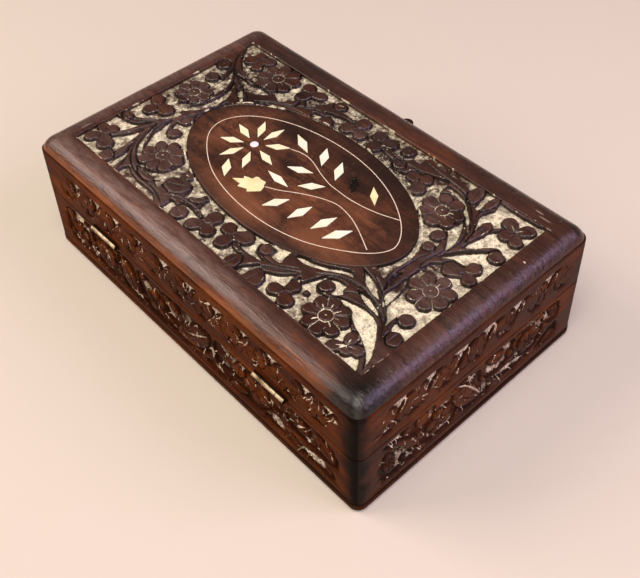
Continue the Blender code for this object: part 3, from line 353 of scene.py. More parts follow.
class Shader:
    """Puts together the nodes of one material."""

    def __init__(self, name: str) -> None:
        """Start a material with a Principled shader."""
        self.material = bpy.data.materials.new(name)
        self.material.use_nodes = True
        self.nodes = self.material.node_tree.nodes
        self.links = self.material.node_tree.links
        self.surface = self.nodes["Principled BSDF"]

    def node(self, kind: str, **settings: object) -> bpy.types.Node:
        """Add a node with these properties."""
        node = self.nodes.new(kind)
        for key, value in settings.items():
            setattr(node, key, value)
        return node

    def feed(self, socket: Socket, value: object) -> None:
        """Put a value, a colour or a link into a socket."""
        if isinstance(value, Socket):
            self.links.new(value, socket)
        else:
            socket.default_value = (*value, 1.0) if socket.type == "RGBA" else value

    def set(self, **values: object) -> None:
        """Fill inputs of the Principled shader, with _ for each space in their names."""
        for key, value in values.items():
            self.feed(self.surface.inputs[key.replace("_", " ")], value)

    def places(self, scale: Triple = (1.0, 1.0, 1.0), shift: Triple = (0.0, 0.0, 0.0)) -> Socket:
        """Return the object's own coordinates, stretched and then moved."""
        source = self.node("ShaderNodeTexCoord")
        mapping = self.node("ShaderNodeMapping")
        self.links.new(source.outputs["Object"], mapping.inputs["Vector"])
        mapping.inputs["Location"].default_value = shift
        mapping.inputs["Scale"].default_value = scale
        return mapping.outputs["Vector"]

    def noise(
        self, places: Socket, scale: float, detail: float, roughness: float, distortion: float = 0.0
    ) -> Socket:
        """Return a noise value from 0 to 1."""
        node = self.node("ShaderNodeTexNoise")
        labels = ("Vector", "Scale", "Detail", "Roughness", "Distortion")
        for label, value in zip(labels, (places, scale, detail, roughness, distortion)):
            self.feed(node.inputs[label], value)
        return node.outputs["Fac"]

    def attribute(self, name: str) -> Socket:
        """Return a value painted on the points of a piece."""
        node = self.node("ShaderNodeAttribute", attribute_name=name)
        return node.outputs["Fac"]

    def math(self, operation: str, first: object, second: object) -> Socket:
        """Return the result of a sum, kept between 0 and 1."""
        node = self.node("ShaderNodeMath", operation=operation, use_clamp=True)
        self.feed(node.inputs[0], first)
        self.feed(node.inputs[1], second)
        return node.outputs[0]

    def add(self, first: object, second: object) -> Socket:
        """Return two values added."""
        return self.math("ADD", first, second)

    def times(self, first: object, second: object) -> Socket:
        """Return two values multiplied."""
        return self.math("MULTIPLY", first, second)

    def spread(
        self, value: object, low: float, high: float, start: float = 0.0, end: float = 1.0
    ) -> Socket:
        """Return a value stretched from low..high to start..end, smoothly."""
        node = self.node("ShaderNodeMapRange", interpolation_type="SMOOTHSTEP")
        labels = ("Value", "From Min", "From Max", "To Min", "To Max")
        for label, number in zip(labels, (value, low, high, start, end)):
            self.feed(node.inputs[label], number)
        return node.outputs["Result"]

    def mix(self, share: object, first: object, second: object) -> Socket:
        """Return two colours mixed."""
        node = self.node("ShaderNodeMix", data_type="RGBA")
        self.feed(node.inputs["Factor"], share)
        self.feed(node.inputs[6], first)
        self.feed(node.inputs[7], second)
        return node.outputs[2]

    def lay(
        self, under: object, over: object, value: object, low: float, high: float, most: float
    ) -> Socket:
        """Lay a colour over another where a value is high.

        Args:
            under: the colour below.
            over: the colour on top.
            value: decides where it lies.
            low: the value up to which there is none.
            high: the value from which there is most.
            most: how strong it is there.

        Returns:
            The colour.
        """
        return self.mix(self.spread(value, low, high, 0.0, most), under, over)

    def ramp(self, value: object, stops: Sequence[tuple[float, tuple]]) -> Socket:
        """Return a colour picked along a ramp."""
        node = self.node("ShaderNodeValToRGB")
        while len(node.color_ramp.elements) < len(stops):
            node.color_ramp.elements.new(0.5)
        for element, (position, colour) in zip(node.color_ramp.elements, stops):
            element.position = position
            element.color = (*colour, 1.0)
        self.feed(node.inputs["Fac"], value)
        return node.outputs["Color"]

    def bump(self, height: object, distance: float, strength: float, under: object = None) -> Socket:
        """Return a normal raised by a height, in millimetres at its full value."""
        node = self.node("ShaderNodeBump")
        node.inputs["Strength"].default_value = strength
        node.inputs["Distance"].default_value = distance * MM
        self.feed(node.inputs["Height"], height)
        if under is not None:
            self.feed(node.inputs["Normal"], under)
        return node.outputs["Normal"]


# Colours that lie on old wood: grime that also serves as painted shade, a dusty film that also serves as a
# painted sheen, scuffs and bare wood in a chip
SHADE_AND_GRIME_TONE: Tone = (0.005, 0.003, 0.002)
SHEEN_DUST_TONE: Tone = (0.25, 0.160, 0.130)
SCUFFED: Tone = (0.20, 0.12, 0.085)
BARE: Tone = (0.70, 0.60, 0.46)


@dataclass(frozen=True)
class SheeshamFinish:
    """Old oiled sheesham with whitewash left in its carving."""

    name: str
    grain: Grain
    dark: Tone
    middle: Tone
    light: Tone
    grain_squeeze: float = 9.0
    gloss: float = 0.5
    roughness: float = 0.36
    streak: float = 0.0
    sheen_dust: float = 0.0
    stains: Path = ()
    glows: Path = ()
    marks: Path = ()
    rim: Point = (0.0, 0.0)
    scuffs: float = 0.0
    blotches: float = 0.0
    grooves: float = 0.11
    ragged: float = 0.3
    dull: float = 0.12
    dents: float = 0.10
    wash_light: Tone = (0.92, 0.85, 0.60)
    wash_dull: Tone = (0.34, 0.29, 0.20)

    def material(self) -> Material:
        """Return the material."""
        shader = Shader(self.name)
        across = self.grain_squeeze
        drawn = shader.places((1.0, across, across) if self.grain is Grain.ALONG else (across, 1.0, across))
        plain = shader.places()
        bands = shader.noise(drawn, 14.0, 5.0, 0.62, 0.9)
        streaks = shader.noise(drawn, 75.0, 4.0, 0.6, 0.4)
        pores = shader.noise(drawn, 330.0, 2.0, 0.6)
        clouds = shader.noise(plain, 30.0, 4.0, 0.65)
        patches = shader.noise(plain, 420.0, 5.0, 0.7)
        mixed = shader.add(shader.times(bands, 0.62), shader.times(streaks, 0.38))
        warm = shader.add(mixed, shader.spread(shader.attribute("tone"), 0.0, 1.0, 0.0, 0.34))
        wood = shader.ramp(warm, [(0.38, self.dark), (0.60, self.middle), (0.88, self.light)])
        wood = shader.lay(wood, self.dark, clouds, 0.38, 0.68, 0.55)
        wood = shader.lay(wood, self.dark, pores, 0.58, 0.70, 0.65)
        wood = self.age(shader, self.mottle(shader, wood, drawn, plain, clouds), clouds)
        # The value painted on the points darkens the wood towards near black: painted shade in recesses,
        # cuts and joints, together with grime.
        shade_and_grime = shader.attribute("shade_and_grime")
        shaded_and_grimed = shader.mix(shader.times(shade_and_grime, 0.95), wood, SHADE_AND_GRIME_TONE)
        cover = self.wash_cover(shader, plain, patches)
        rough = shader.spread(bands, 0.3, 0.7, self.roughness - 0.05, self.roughness + 0.07)
        rough = shader.add(rough, shader.times(cover, 0.3))
        fine = shader.bump(pores, 0.06, 0.6)
        grooved = shader.bump(streaks, self.grooves, 0.8, fine)
        shader.set(
            Base_Color=shader.mix(cover, shaded_and_grimed, self.chalk(shader, plain)),
            Roughness=shader.add(rough, shader.times(shade_and_grime, self.dull)),
            Specular_IOR_Level=self.gloss,
            Normal=shader.bump(patches, self.dents, 0.5, grooved),
        )
        return shader.material

    def mottle(self, shader: Shader, wood: Socket, drawn: Socket, plain: Socket, clouds: Socket) -> Socket:
        """Add the ink lines, spots, glows and stains that this wood has of its own.

        Args:
            shader: the material being made.
            wood: the colour so far.
            drawn: places stretched along the grain.
            plain: places not stretched.
            clouds: the noise that frays glows and stains.

        Returns:
            The colour.
        """
        if self.streak > 0:
            ink = shader.noise(drawn, 22.0, 5.0, 0.7, 1.2)
            wood = shader.lay(wood, self.dark, ink, 0.56, 0.66, self.streak)
        if self.blotches > 0:
            spots = shader.noise(plain, 120.0, 8.0, 0.8, 1.2)
            wood = shader.lay(wood, self.dark, spots, 0.44, 0.66, self.blotches)
            flecks = shader.noise(drawn, 170.0, 5.0, 0.8, 1.5)
            wood = shader.lay(wood, self.dark, flecks, 0.50, 0.62, self.blotches)
        for places, colour, end in ((self.glows, self.light, 0.75), (self.stains, self.dark, 0.7)):
            for x, y, radius, amount in places:
                near = self.closeness(shader, (x, y), (radius, radius / 2.2), clouds, 0.8)
                wood = shader.mix(shader.spread(near, 0.35, end, amount, 0.0), wood, colour)
        return wood

    def age(self, shader: Shader, wood: Socket, clouds: Socket) -> Socket:
        """Add a dark rim, a pale film that is dust and also a painted sheen, scuffs and single marks.

        Args:
            shader: the material being made.
            wood: the colour so far.
            clouds: the noise that frays rim and marks.

        Returns:
            The colour.
        """
        if self.rim[0] > 0:
            near = self.closeness(shader, (0.0, 0.0), self.rim, clouds, 0.5)
            wood = shader.lay(wood, self.dark, near, 0.5, 0.65, 0.7)
        # A pale film laid over the wood: dust on the carved field, and dust together with a painted sheen
        # on the lid's border.
        if self.sheen_dust > 0:
            film = shader.noise(shader.places((1.0, 3.6, 3.6)), 90.0, 6.0, 0.72)
            film = shader.spread(film, 0.22, 0.72, 0.0, self.sheen_dust)
            wood = shader.mix(shader.times(film, shader.attribute("film")), wood, SHEEN_DUST_TONE)
        if self.scuffs > 0:
            lines = shader.noise(shader.places((7.0, 0.7, 0.7)), 210.0, 3.0, 0.7, 0.8)
            wood = shader.lay(wood, SCUFFED, lines, 0.64, 0.70, self.scuffs)
        for x, y, half_x, half_y, amount in self.marks:
            near = self.closeness(shader, (x, y), (half_x, half_y), clouds, 0.3)
            shade = self.dark if amount > 0 else BARE
            wood = shader.mix(shader.spread(near, 0.45, 0.75, abs(amount), 0.0), wood, shade)
        return wood

    def wash_cover(self, shader: Shader, plain: Socket, patches: Socket) -> Socket:
        """Return how much whitewash covers each place, worn off in patches, specks and flakes."""
        cover = shader.add(shader.attribute("wash"), shader.spread(patches, 0.3, 0.7, 0.0, 0.34))
        cover = shader.spread(cover, 0.55, 0.86)
        specks = shader.noise(plain, 1300.0, 3.0, 0.65)
        cover = shader.times(cover, shader.spread(specks, 0.34, 0.44, 0.35, 1.0))
        flakes = shader.noise(plain, 640.0, 4.0, 0.8, 0.6)
        start = 0.40 + 0.10 * self.ragged
        return shader.times(cover, shader.spread(flakes, start, start + 0.09, 1.0 - self.ragged, 1.0))

    def chalk(self, shader: Shader, plain: Socket) -> Socket:
        """Return the whitewash's colour, fresher where there is more of it and lighter there too, which is
        partly painted light.
        """
        fresh_and_lit = shader.times(shader.attribute("wash"), 0.25)
        fresh_and_lit = shader.add(shader.noise(plain, 260.0, 5.0, 0.7), fresh_and_lit)
        return shader.mix(shader.spread(fresh_and_lit, 0.54, 0.76), self.wash_dull, self.wash_light)

    def closeness(self, shader: Shader, middle: Point, halves: Point, edge: Socket, fray: float) -> Socket:
        """Return a distance from a place on the top, 0.5 on an oval round it.

        Args:
            shader: the material being made.
            middle: the oval's middle, in mm.
            halves: its half length and half width, in mm.
            edge: a noise that frays it.
            fray: how much of the noise is added.

        Returns:
            The distance.
        """
        x, y = (0.5 / half for half in halves)
        where = shader.places((x / MM, y / MM, 0.0), (-middle[0] * x, -middle[1] * y, 0.0))
        length = shader.node("ShaderNodeVectorMath", operation="LENGTH")
        shader.links.new(where, length.inputs[0])
        return shader.add(length.outputs["Value"], shader.times(edge, fray / 2))


@dataclass(frozen=True)
class BoneFinish:
    """Polished bone, a little yellowed, with fine lengthwise lines."""

    name: str
    light: Tone = (0.93, 0.89, 0.72)
    aged: Tone = (0.80, 0.72, 0.42)
    line: Tone = (0.45, 0.36, 0.20)

    def material(self) -> Material:
        """Return the material."""
        shader = Shader(self.name)
        blotches = shader.noise(shader.places(), 170.0, 3.0, 0.6)
        lines = shader.noise(shader.places((1.0, 5.0, 5.0)), 800.0, 2.0, 0.6)
        colour = shader.lay(self.light, self.aged, blotches, 0.38, 0.72, 0.6)
        shader.set(
            Base_Color=shader.lay(colour, self.line, lines, 0.62, 0.74, 0.35),
            Roughness=shader.spread(blotches, 0.3, 0.7, 0.30, 0.45),
            Subsurface_Weight=0.15,
            Normal=shader.bump(lines, 0.03, 0.5),
        )
        shader.surface.inputs["Subsurface Radius"].default_value = (0.6, 0.45, 0.3)
        shader.surface.inputs["Subsurface Scale"].default_value = 0.6 * MM
        return shader.material


@dataclass(frozen=True)
class MetalFinish:
    """Old metal, dulled and darkened; where a height in y + z (mm) is given, only the metal above it keeps
    its colour as a painted highlight, and the rest is painted dark as shade.
    """

    name: str
    bright: Tone
    tarnish: Tone
    roughness: float = 0.42
    metal: float = 1.0
    crest_highlight_above: float = 0.0

    def material(self) -> Material:
        """Return the material."""
        shader = Shader(self.name)
        plain = shader.places()
        blotches = shader.noise(plain, 420.0, 4.0, 0.65)
        scratches = shader.noise(shader.places((1.0, 14.0, 14.0)), 500.0, 2.0, 0.6)
        colour = shader.lay(self.bright, self.tarnish, blotches, 0.42, 0.66, 1.0)
        # Only the crest of the knuckle, above the given y + z, keeps the metal's colour as a painted
        # highlight; the rest is painted near black as shade.
        if self.crest_highlight_above > 0:
            slope = shader.node("ShaderNodeVectorMath", operation="DOT_PRODUCT")
            shader.links.new(plain, slope.inputs[0])
            slope.inputs[1].default_value = (0.0, 1.0, 1.0)
            low, high = (self.crest_highlight_above - 0.25) * MM, (self.crest_highlight_above + 0.05) * MM
            shaded_metal = tuple(channel * 0.15 for channel in self.tarnish)
            colour = shader.lay(shaded_metal, colour, slope.outputs["Value"], low, high, 1.0)
        shader.set(
            Base_Color=colour,
            Metallic=self.metal,
            Roughness=shader.spread(blotches, 0.35, 0.7, self.roughness, self.roughness + 0.22),
            Normal=shader.bump(scratches, 0.03, 0.6),
        )
        return shader.material


@dataclass(frozen=True)
class ShellFinish:
    """The white shell disc in the middle of the inlaid flower."""

    name: str
    colour: Tone = (0.90, 0.88, 0.88)
    pink: Tone = (0.80, 0.74, 0.80)
    green: Tone = (0.76, 0.84, 0.86)

    def material(self) -> Material:
        """Return the material."""
        shader = Shader(self.name)
        layers = shader.noise(shader.places((1.0, 2.0, 1.0)), 900.0, 2.0, 0.5, 1.5)
        shader.set(
            Base_Color=shader.ramp(layers, [(0.3, self.pink), (0.5, self.colour), (0.7, self.green)]),
            Roughness=shader.spread(layers, 0.3, 0.7, 0.18, 0.30),
            Coat_Weight=0.5,
        )
        return shader.material


@dataclass(frozen=True)
class FeltFinish:
    """Short-napped red felt."""

    name: str
    colour: tuple[float, float, float] = (0.13, 0.008, 0.016)

    def material(self) -> Material:
        """Return the material."""
        shader = Shader(self.name)
        plain = shader.places()
        fibres = shader.noise(plain, 2600.0, 4.0, 0.75)
        worn = shader.noise(plain, 60.0, 3.0, 0.6)
        pale = tuple(min(1.0, channel * 1.9 + 0.01) for channel in self.colour)
        share = shader.times(fibres, shader.spread(worn, 0.3, 0.7, 0.5, 1.0))
        shader.set(
            Base_Color=shader.mix(share, self.colour, pale),
            Roughness=shader.spread(fibres, 0.3, 0.7, 0.86, 1.0),
            Sheen_Weight=0.6,
            Normal=shader.bump(fibres, 0.25, 0.8),
        )
        return shader.material


@dataclass(frozen=True)
class FloorFinish:
    """The plain pale floor of the studio."""

    name: str = "studio_floor"
    colour: tuple[float, float, float] = (0.70, 0.63, 0.53)

    def material(self) -> Material:
        """Return the material."""
        shader = Shader(self.name)
        grain = shader.noise(shader.places(), 90.0, 2.0, 0.5)
        dimmer = tuple(channel * 0.985 for channel in self.colour)
        shader.set(Base_Color=shader.mix(grain, self.colour, dimmer), Roughness=0.9)
        return shader.material


@dataclass(frozen=True)
class Palette:
    """All the finishes of the box."""

    top_wood: Material
    field_wood: Material
    oval_wood: Material
    side_wood: dict[Grain, Material]
    bone: Material
    bone_petals: Material
    bone_aged: Material
    shell: Material
    wire: Material
    brass: Material
    felt: Material
    filler: Material


# Dark marks in the medallion's wood: x, y, length and strength
OVAL_STAINS = (
    (9, -3, 9, 0.8), (6, 1, 6, 0.6), (13, -8, 6, 0.7), (-20, -15, 12, 0.9), (24, -19, 16, 0.85),
    (-30, -24, 24, 0.7), (36, 16, 16, 0.5), (-50, -8, 18, 0.75), (2, 17, 10, 0.4), (0, -31, 60, 0.65),
    (-12, -22, 14, 0.6), (-56, 6, 12, 0.5), (40, -12, 10, 0.4), (-8, 0, 9, 0.35),
)
OVAL_GLOWS = (
    (-38, 19, 24, 0.55), (8, 29, 30, 0.5), (-14, 12, 12, 0.25), (-30, -3, 14, 0.25), (46, 8, 12, 0.2),
)


# Marks on the lid's border: crack, chip, filled nail heads, scuffs
TOP_MARKS = (
    (-98.4, -30.4, 3.2, 0.30, 0.95), (-94.9, -29.8, 0.5, 0.35, -0.9), (54.2, 60.4, 1.3, 0.9, 0.5),
    (-4.4, 59.6, 1.2, 0.8, 0.5), (-86.0, -53.5, 2.6, 0.3, -0.3), (-82.0, -55.2, 1.8, 0.3, -0.35),
    (-90.5, -50.2, 1.2, 0.3, -0.3), (91.5, 44.0, 0.3, 2.6, -0.25),
)


def make_palette() -> Palette:
    """Make every finish of the box."""
    sides = ((0.013, 0.0025, 0.0003), (0.064, 0.0105, 0.0005), (0.23, 0.054, 0.002))
    top = ((0.014, 0.005, 0.003), (0.066, 0.019, 0.009), (0.24, 0.062, 0.006))
    field_tones = ((0.012, 0.004, 0.0025), (0.048, 0.015, 0.008), (0.16, 0.048, 0.010))
    oval = ((0.020, 0.008, 0.005), (0.128, 0.042, 0.021), (0.29, 0.104, 0.042))
    return Palette(
        top_wood=SheeshamFinish(
            "sheesham_top", Grain.ALONG, *top, gloss=0.52, roughness=0.25, sheen_dust=0.75, scuffs=0.5,
            grooves=0.45, dull=-0.09, marks=TOP_MARKS,
        ).material(),
        field_wood=SheeshamFinish(
            "sheesham_field", Grain.ALONG, *field_tones, gloss=0.42, roughness=0.27, sheen_dust=0.36, dents=0.3,
        ).material(),
        oval_wood=SheeshamFinish(
            "sheesham_oval", Grain.ALONG, *oval, roughness=0.42, gloss=0.3, streak=0.7, blotches=0.7,
            scuffs=0.5, stains=OVAL_STAINS, glows=OVAL_GLOWS, rim=(61.4, 33.9),
        ).material(),
        side_wood={
            grain: SheeshamFinish(
                "sheesham_side_" + grain.name.lower(), grain, *sides, roughness=0.46, scuffs=0.2,
                ragged=0.6, gloss=0.03 if grain is Grain.ALONG else 0.09,
                wash_light=(0.86, 0.74, 0.58), wash_dull=(0.34, 0.27, 0.19),
            ).material()
            for grain in Grain
        },
        bone=BoneFinish("bone_inlay").material(),
        bone_petals=BoneFinish("bone_inlay_petals", (0.92, 0.87, 0.60), (0.82, 0.74, 0.40)).material(),
        bone_aged=BoneFinish("bone_inlay_aged", (0.90, 0.84, 0.50), (0.78, 0.66, 0.28)).material(),
        shell=ShellFinish("shell_inlay").material(),
        wire=MetalFinish("inlay_wire", (0.97, 0.84, 0.66), (0.80, 0.58, 0.42), 0.45, 0.25).material(),
        # The hinge knuckles carry a painted highlight on their crest and painted shade below it.
        brass=MetalFinish(
            "hinge_brass", (0.62, 0.50, 0.32), (0.20, 0.13, 0.06), 0.42, 0.7, crest_highlight_above=100.93,
        ).material(),
        felt=FeltFinish("felt_lining").material(),
        filler=MetalFinish("dark_glue", (0.018, 0.010, 0.007), (0.008, 0.005, 0.004), 0.6, 0.0).material(),
    )


# Carving


def line_distance(x: Array, y: Array, start: Point, end: Point) -> tuple[Array, Array]:
    """Return how far along a line each place's nearest point lies, from 0 to 1, and how far off it is."""
    ax, ay = start
    dx, dy = end[0] - ax, end[1] - ay
    share = clamp(((x - ax) * dx + (y - ay) * dy) / (dx * dx + dy * dy + TINY))
    return share, np.hypot(x - ax - share * dx, y - ay - share * dy)


def outline_distance(x: Array, y: Array, outline: Array) -> Array:
    """Return how far each place lies inside a closed outline, negative outside."""
    inside = np.zeros(x.shape, bool)
    nearest = np.full(x.shape, FAR)
    for (ax, ay), (bx, by) in zip(outline, np.roll(outline, -1, 0)):
        nearest = np.minimum(nearest, line_distance(x, y, (ax, ay), (bx, by))[1])
        slope = (bx - ax) / (by - ay) if abs(by - ay) > TINY else 0.0
        inside ^= ((ay > y) != (by > y)) & (x < ax + (y - ay) * slope)
    return np.where(inside, nearest, -nearest)


def stroke_distance(x: Array, y: Array, path: Array) -> Array:
    """Return how far each place lies inside a stroke; path rows are x, y and full width."""
    best = np.full(x.shape, -FAR)
    for start, end in zip(path[:-1], path[1:]):
        share, gap = line_distance(x, y, start[:2], end[:2])
        best = np.maximum(best, (start[2] + (end[2] - start[2]) * share) / 2 - gap)
    return best


# How far the top of a petal or a bud lies under the face
CROWN = 0.1


class Relief:
    """Carving on an even face: how deep it is, what paint and grime it holds and where painted shade
    darkens it.
    """

    def __init__(self, x: Array, y: Array, floor: float, seed: int) -> None:
        """Start with an untouched face.

        Args:
            x: the places of the columns.
            y: the places of the rows.
            floor: how deep the ground is cut.
            seed: fixes everything random in this carving.
        """
        self.x, self.y = np.meshgrid(x, y)
        self.columns, self.rows = x, y
        self.floor, self.seed = floor, seed
        self.random = np.random.default_rng(seed)
        self.pocket = np.full(self.x.shape, -FAR)
        self.motif = np.full(self.x.shape, -FAR)
        self.motif_top = np.full(self.x.shape, -floor)
        self.cut_depth = np.zeros(self.x.shape)
        self.filled = np.zeros(self.x.shape)
        self.strength = np.full(self.x.shape, 0.60)
        self.wobble = 0.17 * self.noise(2.4, 8)
        self.wobble += 0.07 * self.noise(0.9, 9)

    def noise(self, size: float, step: int) -> Array:
        """Return noise over the face; each step gives another one."""
        return value_noise(self.x, self.y, size, self.seed + step)

    def window(self, points: Array, reach: float) -> Window:
        """Return the rows and columns within reach of some points."""
        low, high = points[:, :2].min(0) - reach, points[:, :2].max(0) + reach
        rows = slice(*np.searchsorted(self.rows, (low[1], high[1])))
        columns = slice(*np.searchsorted(self.columns, (low[0], high[0])))
        return rows, columns

    def sink(self, outline: Outline) -> None:
        """Cut the ground away inside an outline."""
        shape = smooth_outline(outline)
        part = self.window(shape, 4.0)
        inside = outline_distance(self.x[part], self.y[part], shape) + self.wobble[part]
        self.pocket[part] = np.maximum(self.pocket[part], inside)

    def leave(self, path: Path) -> None:
        """Leave a stem of wood standing across the ground."""
        curve = smooth_path(path)
        part = self.window(curve, 4.0)
        inside = stroke_distance(self.x[part], self.y[part], curve)
        self.pocket[part] = np.minimum(self.pocket[part], -inside)

    def raise_shape(
        self, part: Window, inside: Array, reach: float, crown: float, moat: float = 0.5
    ) -> None:
        """Raise a rounded shape, with a narrow moat where it meets standing wood.

        Args:
            part: the rows and columns that the distances are for.
            inside: how far each place lies inside the shape.
            reach: the distance over which its top rounds up.
            crown: how far its highest place lies under the face.
            moat: how wide the ground is cut round it.
        """
        inside = inside + self.wobble[part]
        self.pocket[part] = np.maximum(self.pocket[part], inside + moat)
        self.motif[part] = np.maximum(self.motif[part], inside)
        edge = 1.0 - clamp(inside / 0.75)
        top = -crown - 0.42 * edge**2 - 0.16 * (1.0 - clamp(inside / reach)) ** 2
        top = np.where(inside > -0.4, top, -self.floor)
        self.motif_top[part] = np.maximum(self.motif_top[part], top)

    def petal(
        self, tip: Point, radius: float, root: Point, vein: float, residue: float,
        shares: Point = (0.78, 0.5),
    ) -> None:
        """Raise a round petal that narrows towards its root, with a cut vein.

        Args:
            tip: the middle of its round end.
            radius: the radius of that end.
            root: where it starts.
            vein: how strong its vein is.
            residue: how much whitewash is left in its vein.
            shares: its width halfway and at its root, as shares of the full width.
        """
        tip_point, root_point = np.asarray(tip, float), np.asarray(root, float)
        halfway = 0.5 * tip_point + 0.5 * root_point
        path = np.array([
            [*tip, 2 * radius], [*halfway, 2 * shares[0] * radius], [*root, 2 * shares[1] * radius],
        ])
        part = self.window(path, radius + 2.0)
        inside = stroke_distance(self.x[part], self.y[part], path)
        self.raise_shape(part, inside, radius * 0.8, CROWN)
        start = tip_point + 0.25 * (root_point - tip_point)
        end = tip_point + 0.85 * (root_point - tip_point)
        fill = residue * float(self.random.uniform(0.2, 1.5))
        self.cut([(*start, 0.4), (*(0.5 * (start + end)), 0.7), (*end, 0.4)], 0.40 * vein, fill)

    def flower(self, petals: Path, residue: float) -> None:
        """Raise a small flower whose petals meet in their middle."""
        places = np.asarray(petals, float)
        root = tuple(places[:, :2].mean(0))
        for x, y, radius in petals:
            self.petal((x, y), radius, root, 0.6, residue)
        for (ax, ay, _), (bx, by, _) in zip(petals, [*petals[1:], petals[0]]):
            end = (0.1 * root[0] + 0.45 * (ax + bx), 0.1 * root[1] + 0.45 * (ay + by))
            self.cut([(*root, 0.6), (*end, 1.0)], 0.62, residue * float(self.random.uniform(-0.5, 1.3)))

    def rosette(self, x: float, y: float, radius: float, petals: int, turn: float, residue: float) -> None:
        """Raise a large flower with a ring and a button in its middle.

        Args:
            x: its place along the face.
            y: its place up the face.
            radius: its radius over the petals.
            petals: how many petals it has.
            turn: the angle of its first petal.
            residue: how much whitewash is left in its grooves.
        """
        half_step = math.pi / petals
        part = self.window(np.array([[x, y]]), 0.72 * radius)
        gap = np.hypot(self.x[part] - x, self.y[part] - y)
        self.raise_shape(part, 0.62 * radius - gap, 1.0, 0.42, 0.0)
        for index in range(petals):
            angle = math.radians(turn) + 2 * half_step * index + self.random.uniform(-0.05, 0.05)
            reach = radius * self.random.uniform(0.67, 0.71)
            size = reach * math.sin(half_step) * self.random.uniform(1.04, 1.12)
            way = np.array([math.cos(angle), math.sin(angle)])
            tip, root = (x, y) + reach * way, (x, y) + 2.4 * way
            self.petal(tuple(tip), size, tuple(root), 0.8, residue, (0.80, 0.40))
            between = angle + half_step
            side = np.array([math.cos(between), math.sin(between)])
            near, far = (x, y) + 3.2 * side, (x, y) + 0.86 * radius * side
            fill = residue * float(self.random.uniform(0.3, 1.5))
            self.cut([(*near, 0.45), (*far, 1.0)], 0.6, fill)
        self.cut_depth[part] += 0.45 * hump(gap, 3.0, 0.38)
        dome = -0.05 - 0.45 * clamp(gap / 2.6) ** 2
        self.motif_top[part] = np.where(gap < 2.7, dome, self.motif_top[part])
        self.motif[part] = np.where(gap < 2.9, np.maximum(self.motif[part], 3.0 - gap), self.motif[part])
        self.cut_depth[part] = np.where(gap < 2.4, 0.0, self.cut_depth[part])
        self.cut_depth[part] += 0.3 * hump(gap, 0.0, 0.5)
        # The pale ring round the button is whitewash in its groove and partly a painted reflection; the
        # pale dot in its middle is a painted glint.
        ring = (0.45 + 0.55 * residue) * hump(gap, 2.95, 0.30)
        self.filled[part] = np.maximum(self.filled[part], ring)
        self.filled[part] = np.maximum(self.filled[part], 0.9 * hump(gap, 0.0, 0.45))

    def bud(self, x: float, y: float, radius: float, crown: float = CROWN, vein: bool = True) -> None:
        """Raise a round bud, with a short cut across it."""
        part = self.window(np.array([[x, y]]), radius + 2.0)
        inside = radius - np.hypot(self.x[part] - x, self.y[part] - y)
        self.raise_shape(part, inside, radius * 0.8, crown)
        if vein:
            turn = self.random.uniform(-0.6, 0.6)
            dx, dy = 0.5 * radius * math.cos(turn), 0.5 * radius * math.sin(turn)
            fill = float(self.random.uniform(-0.3, 0.7))
            self.cut([(x - dx, y - dy, 0.4), (x, y, 0.8), (x + dx, y + dy, 0.4)], 0.3, fill)

    def leaf(self, outline: Outline, vein: Path) -> None:
        """Raise a leaf of any outline and cut its vein."""
        shape = smooth_outline(outline)
        part = self.window(shape, 3.0)
        inside = outline_distance(self.x[part], self.y[part], shape)
        self.raise_shape(part, inside, 2.2, 0.08)
        self.cut(vein, 0.5, 0.2)

    def cut(self, path: Path, depth: float, fill: float = 0.0) -> None:
        """Cut a V groove along a path whose rows are x, y and width.

        Args:
            path: where it runs and how wide it is.
            depth: its depth in its middle.
            fill: how much whitewash is left in it.
        """
        curve = smooth_path(path) if len(path) > 2 else np.asarray(path, float)
        part = self.window(curve, 3.0)
        inside = stroke_distance(self.x[part], self.y[part], curve)
        half = max(0.2, float(np.mean(curve[:, 2])) / 2)
        share = clamp(inside / half)
        self.cut_depth[part] = np.maximum(self.cut_depth[part], depth * share)
        if fill > 0:
            self.filled[part] = np.maximum(self.filled[part], fill * smooth_step(0.1, 0.6, share))

    def brighten(self, x: float, y: float, radius: float, amount: float) -> None:
        """Change how much whitewash is left near a place."""
        gap = np.hypot(self.x - x, self.y - y)
        self.strength = self.strength + amount * hump(gap, 0.0, radius)

    def settle(self) -> None:
        """Work out the final depths, the whitewash and the painted shade."""
        under = np.clip(-self.pocket, 0.0, FAR)
        shoulder = -0.42 * np.exp(-under / 0.65)
        ground = smooth_step(-0.1, 0.42, self.pocket)
        rough = 0.10 * self.noise(1.3, 1)
        rough += 0.07 * value_noise(self.x + self.y * 0.6, self.y * 2.2, 1.1, self.seed + 2)
        rough += 0.04 * self.noise(0.5, 3)
        low = -self.floor + rough
        base = shoulder * (1 - ground) + low * ground
        lift = smooth_step(-0.32, 0.12, self.motif)
        depth = base * (1 - lift) + np.maximum(base, self.motif_top) * lift
        wavy = 0.05 * self.noise(4.0, 4)
        depth = depth - self.cut_depth + wavy * (depth > -self.floor * 0.7)
        self.depth = np.minimum(depth, 0.0)
        free = np.minimum(self.pocket, -self.motif)
        bare = smooth_step(0.12, 0.55, free)
        wash = bare * self.strength * (1 + 0.15 * self.noise(6.0, 5))
        worn = self.noise(1.8, 6) + 0.5 * self.noise(0.7, 7)
        lip = hump(free, -0.38, 0.16) * smooth_step(0.40, 0.70, worn)
        self.wash = clamp(np.maximum.reduce([wash, 0.95 * self.filled, 0.8 * lip]))
        # Painted shade: a dark band along the foot of standing wood, dark cuts, and darker ground where no
        # whitewash is left.
        edge = hump(free, 0.12, 0.34)
        cut_shade = clamp(self.cut_depth / 0.4) * (1 - clamp(self.filled * 1.4))
        bare_ground_shade = ground * (1 - lift) * (1 - clamp(self.wash * 1.3))
        self.shade_and_grime = clamp(np.maximum.reduce([edge * 0.9, cut_shade * 0.95, bare_ground_shade * 0.65]))
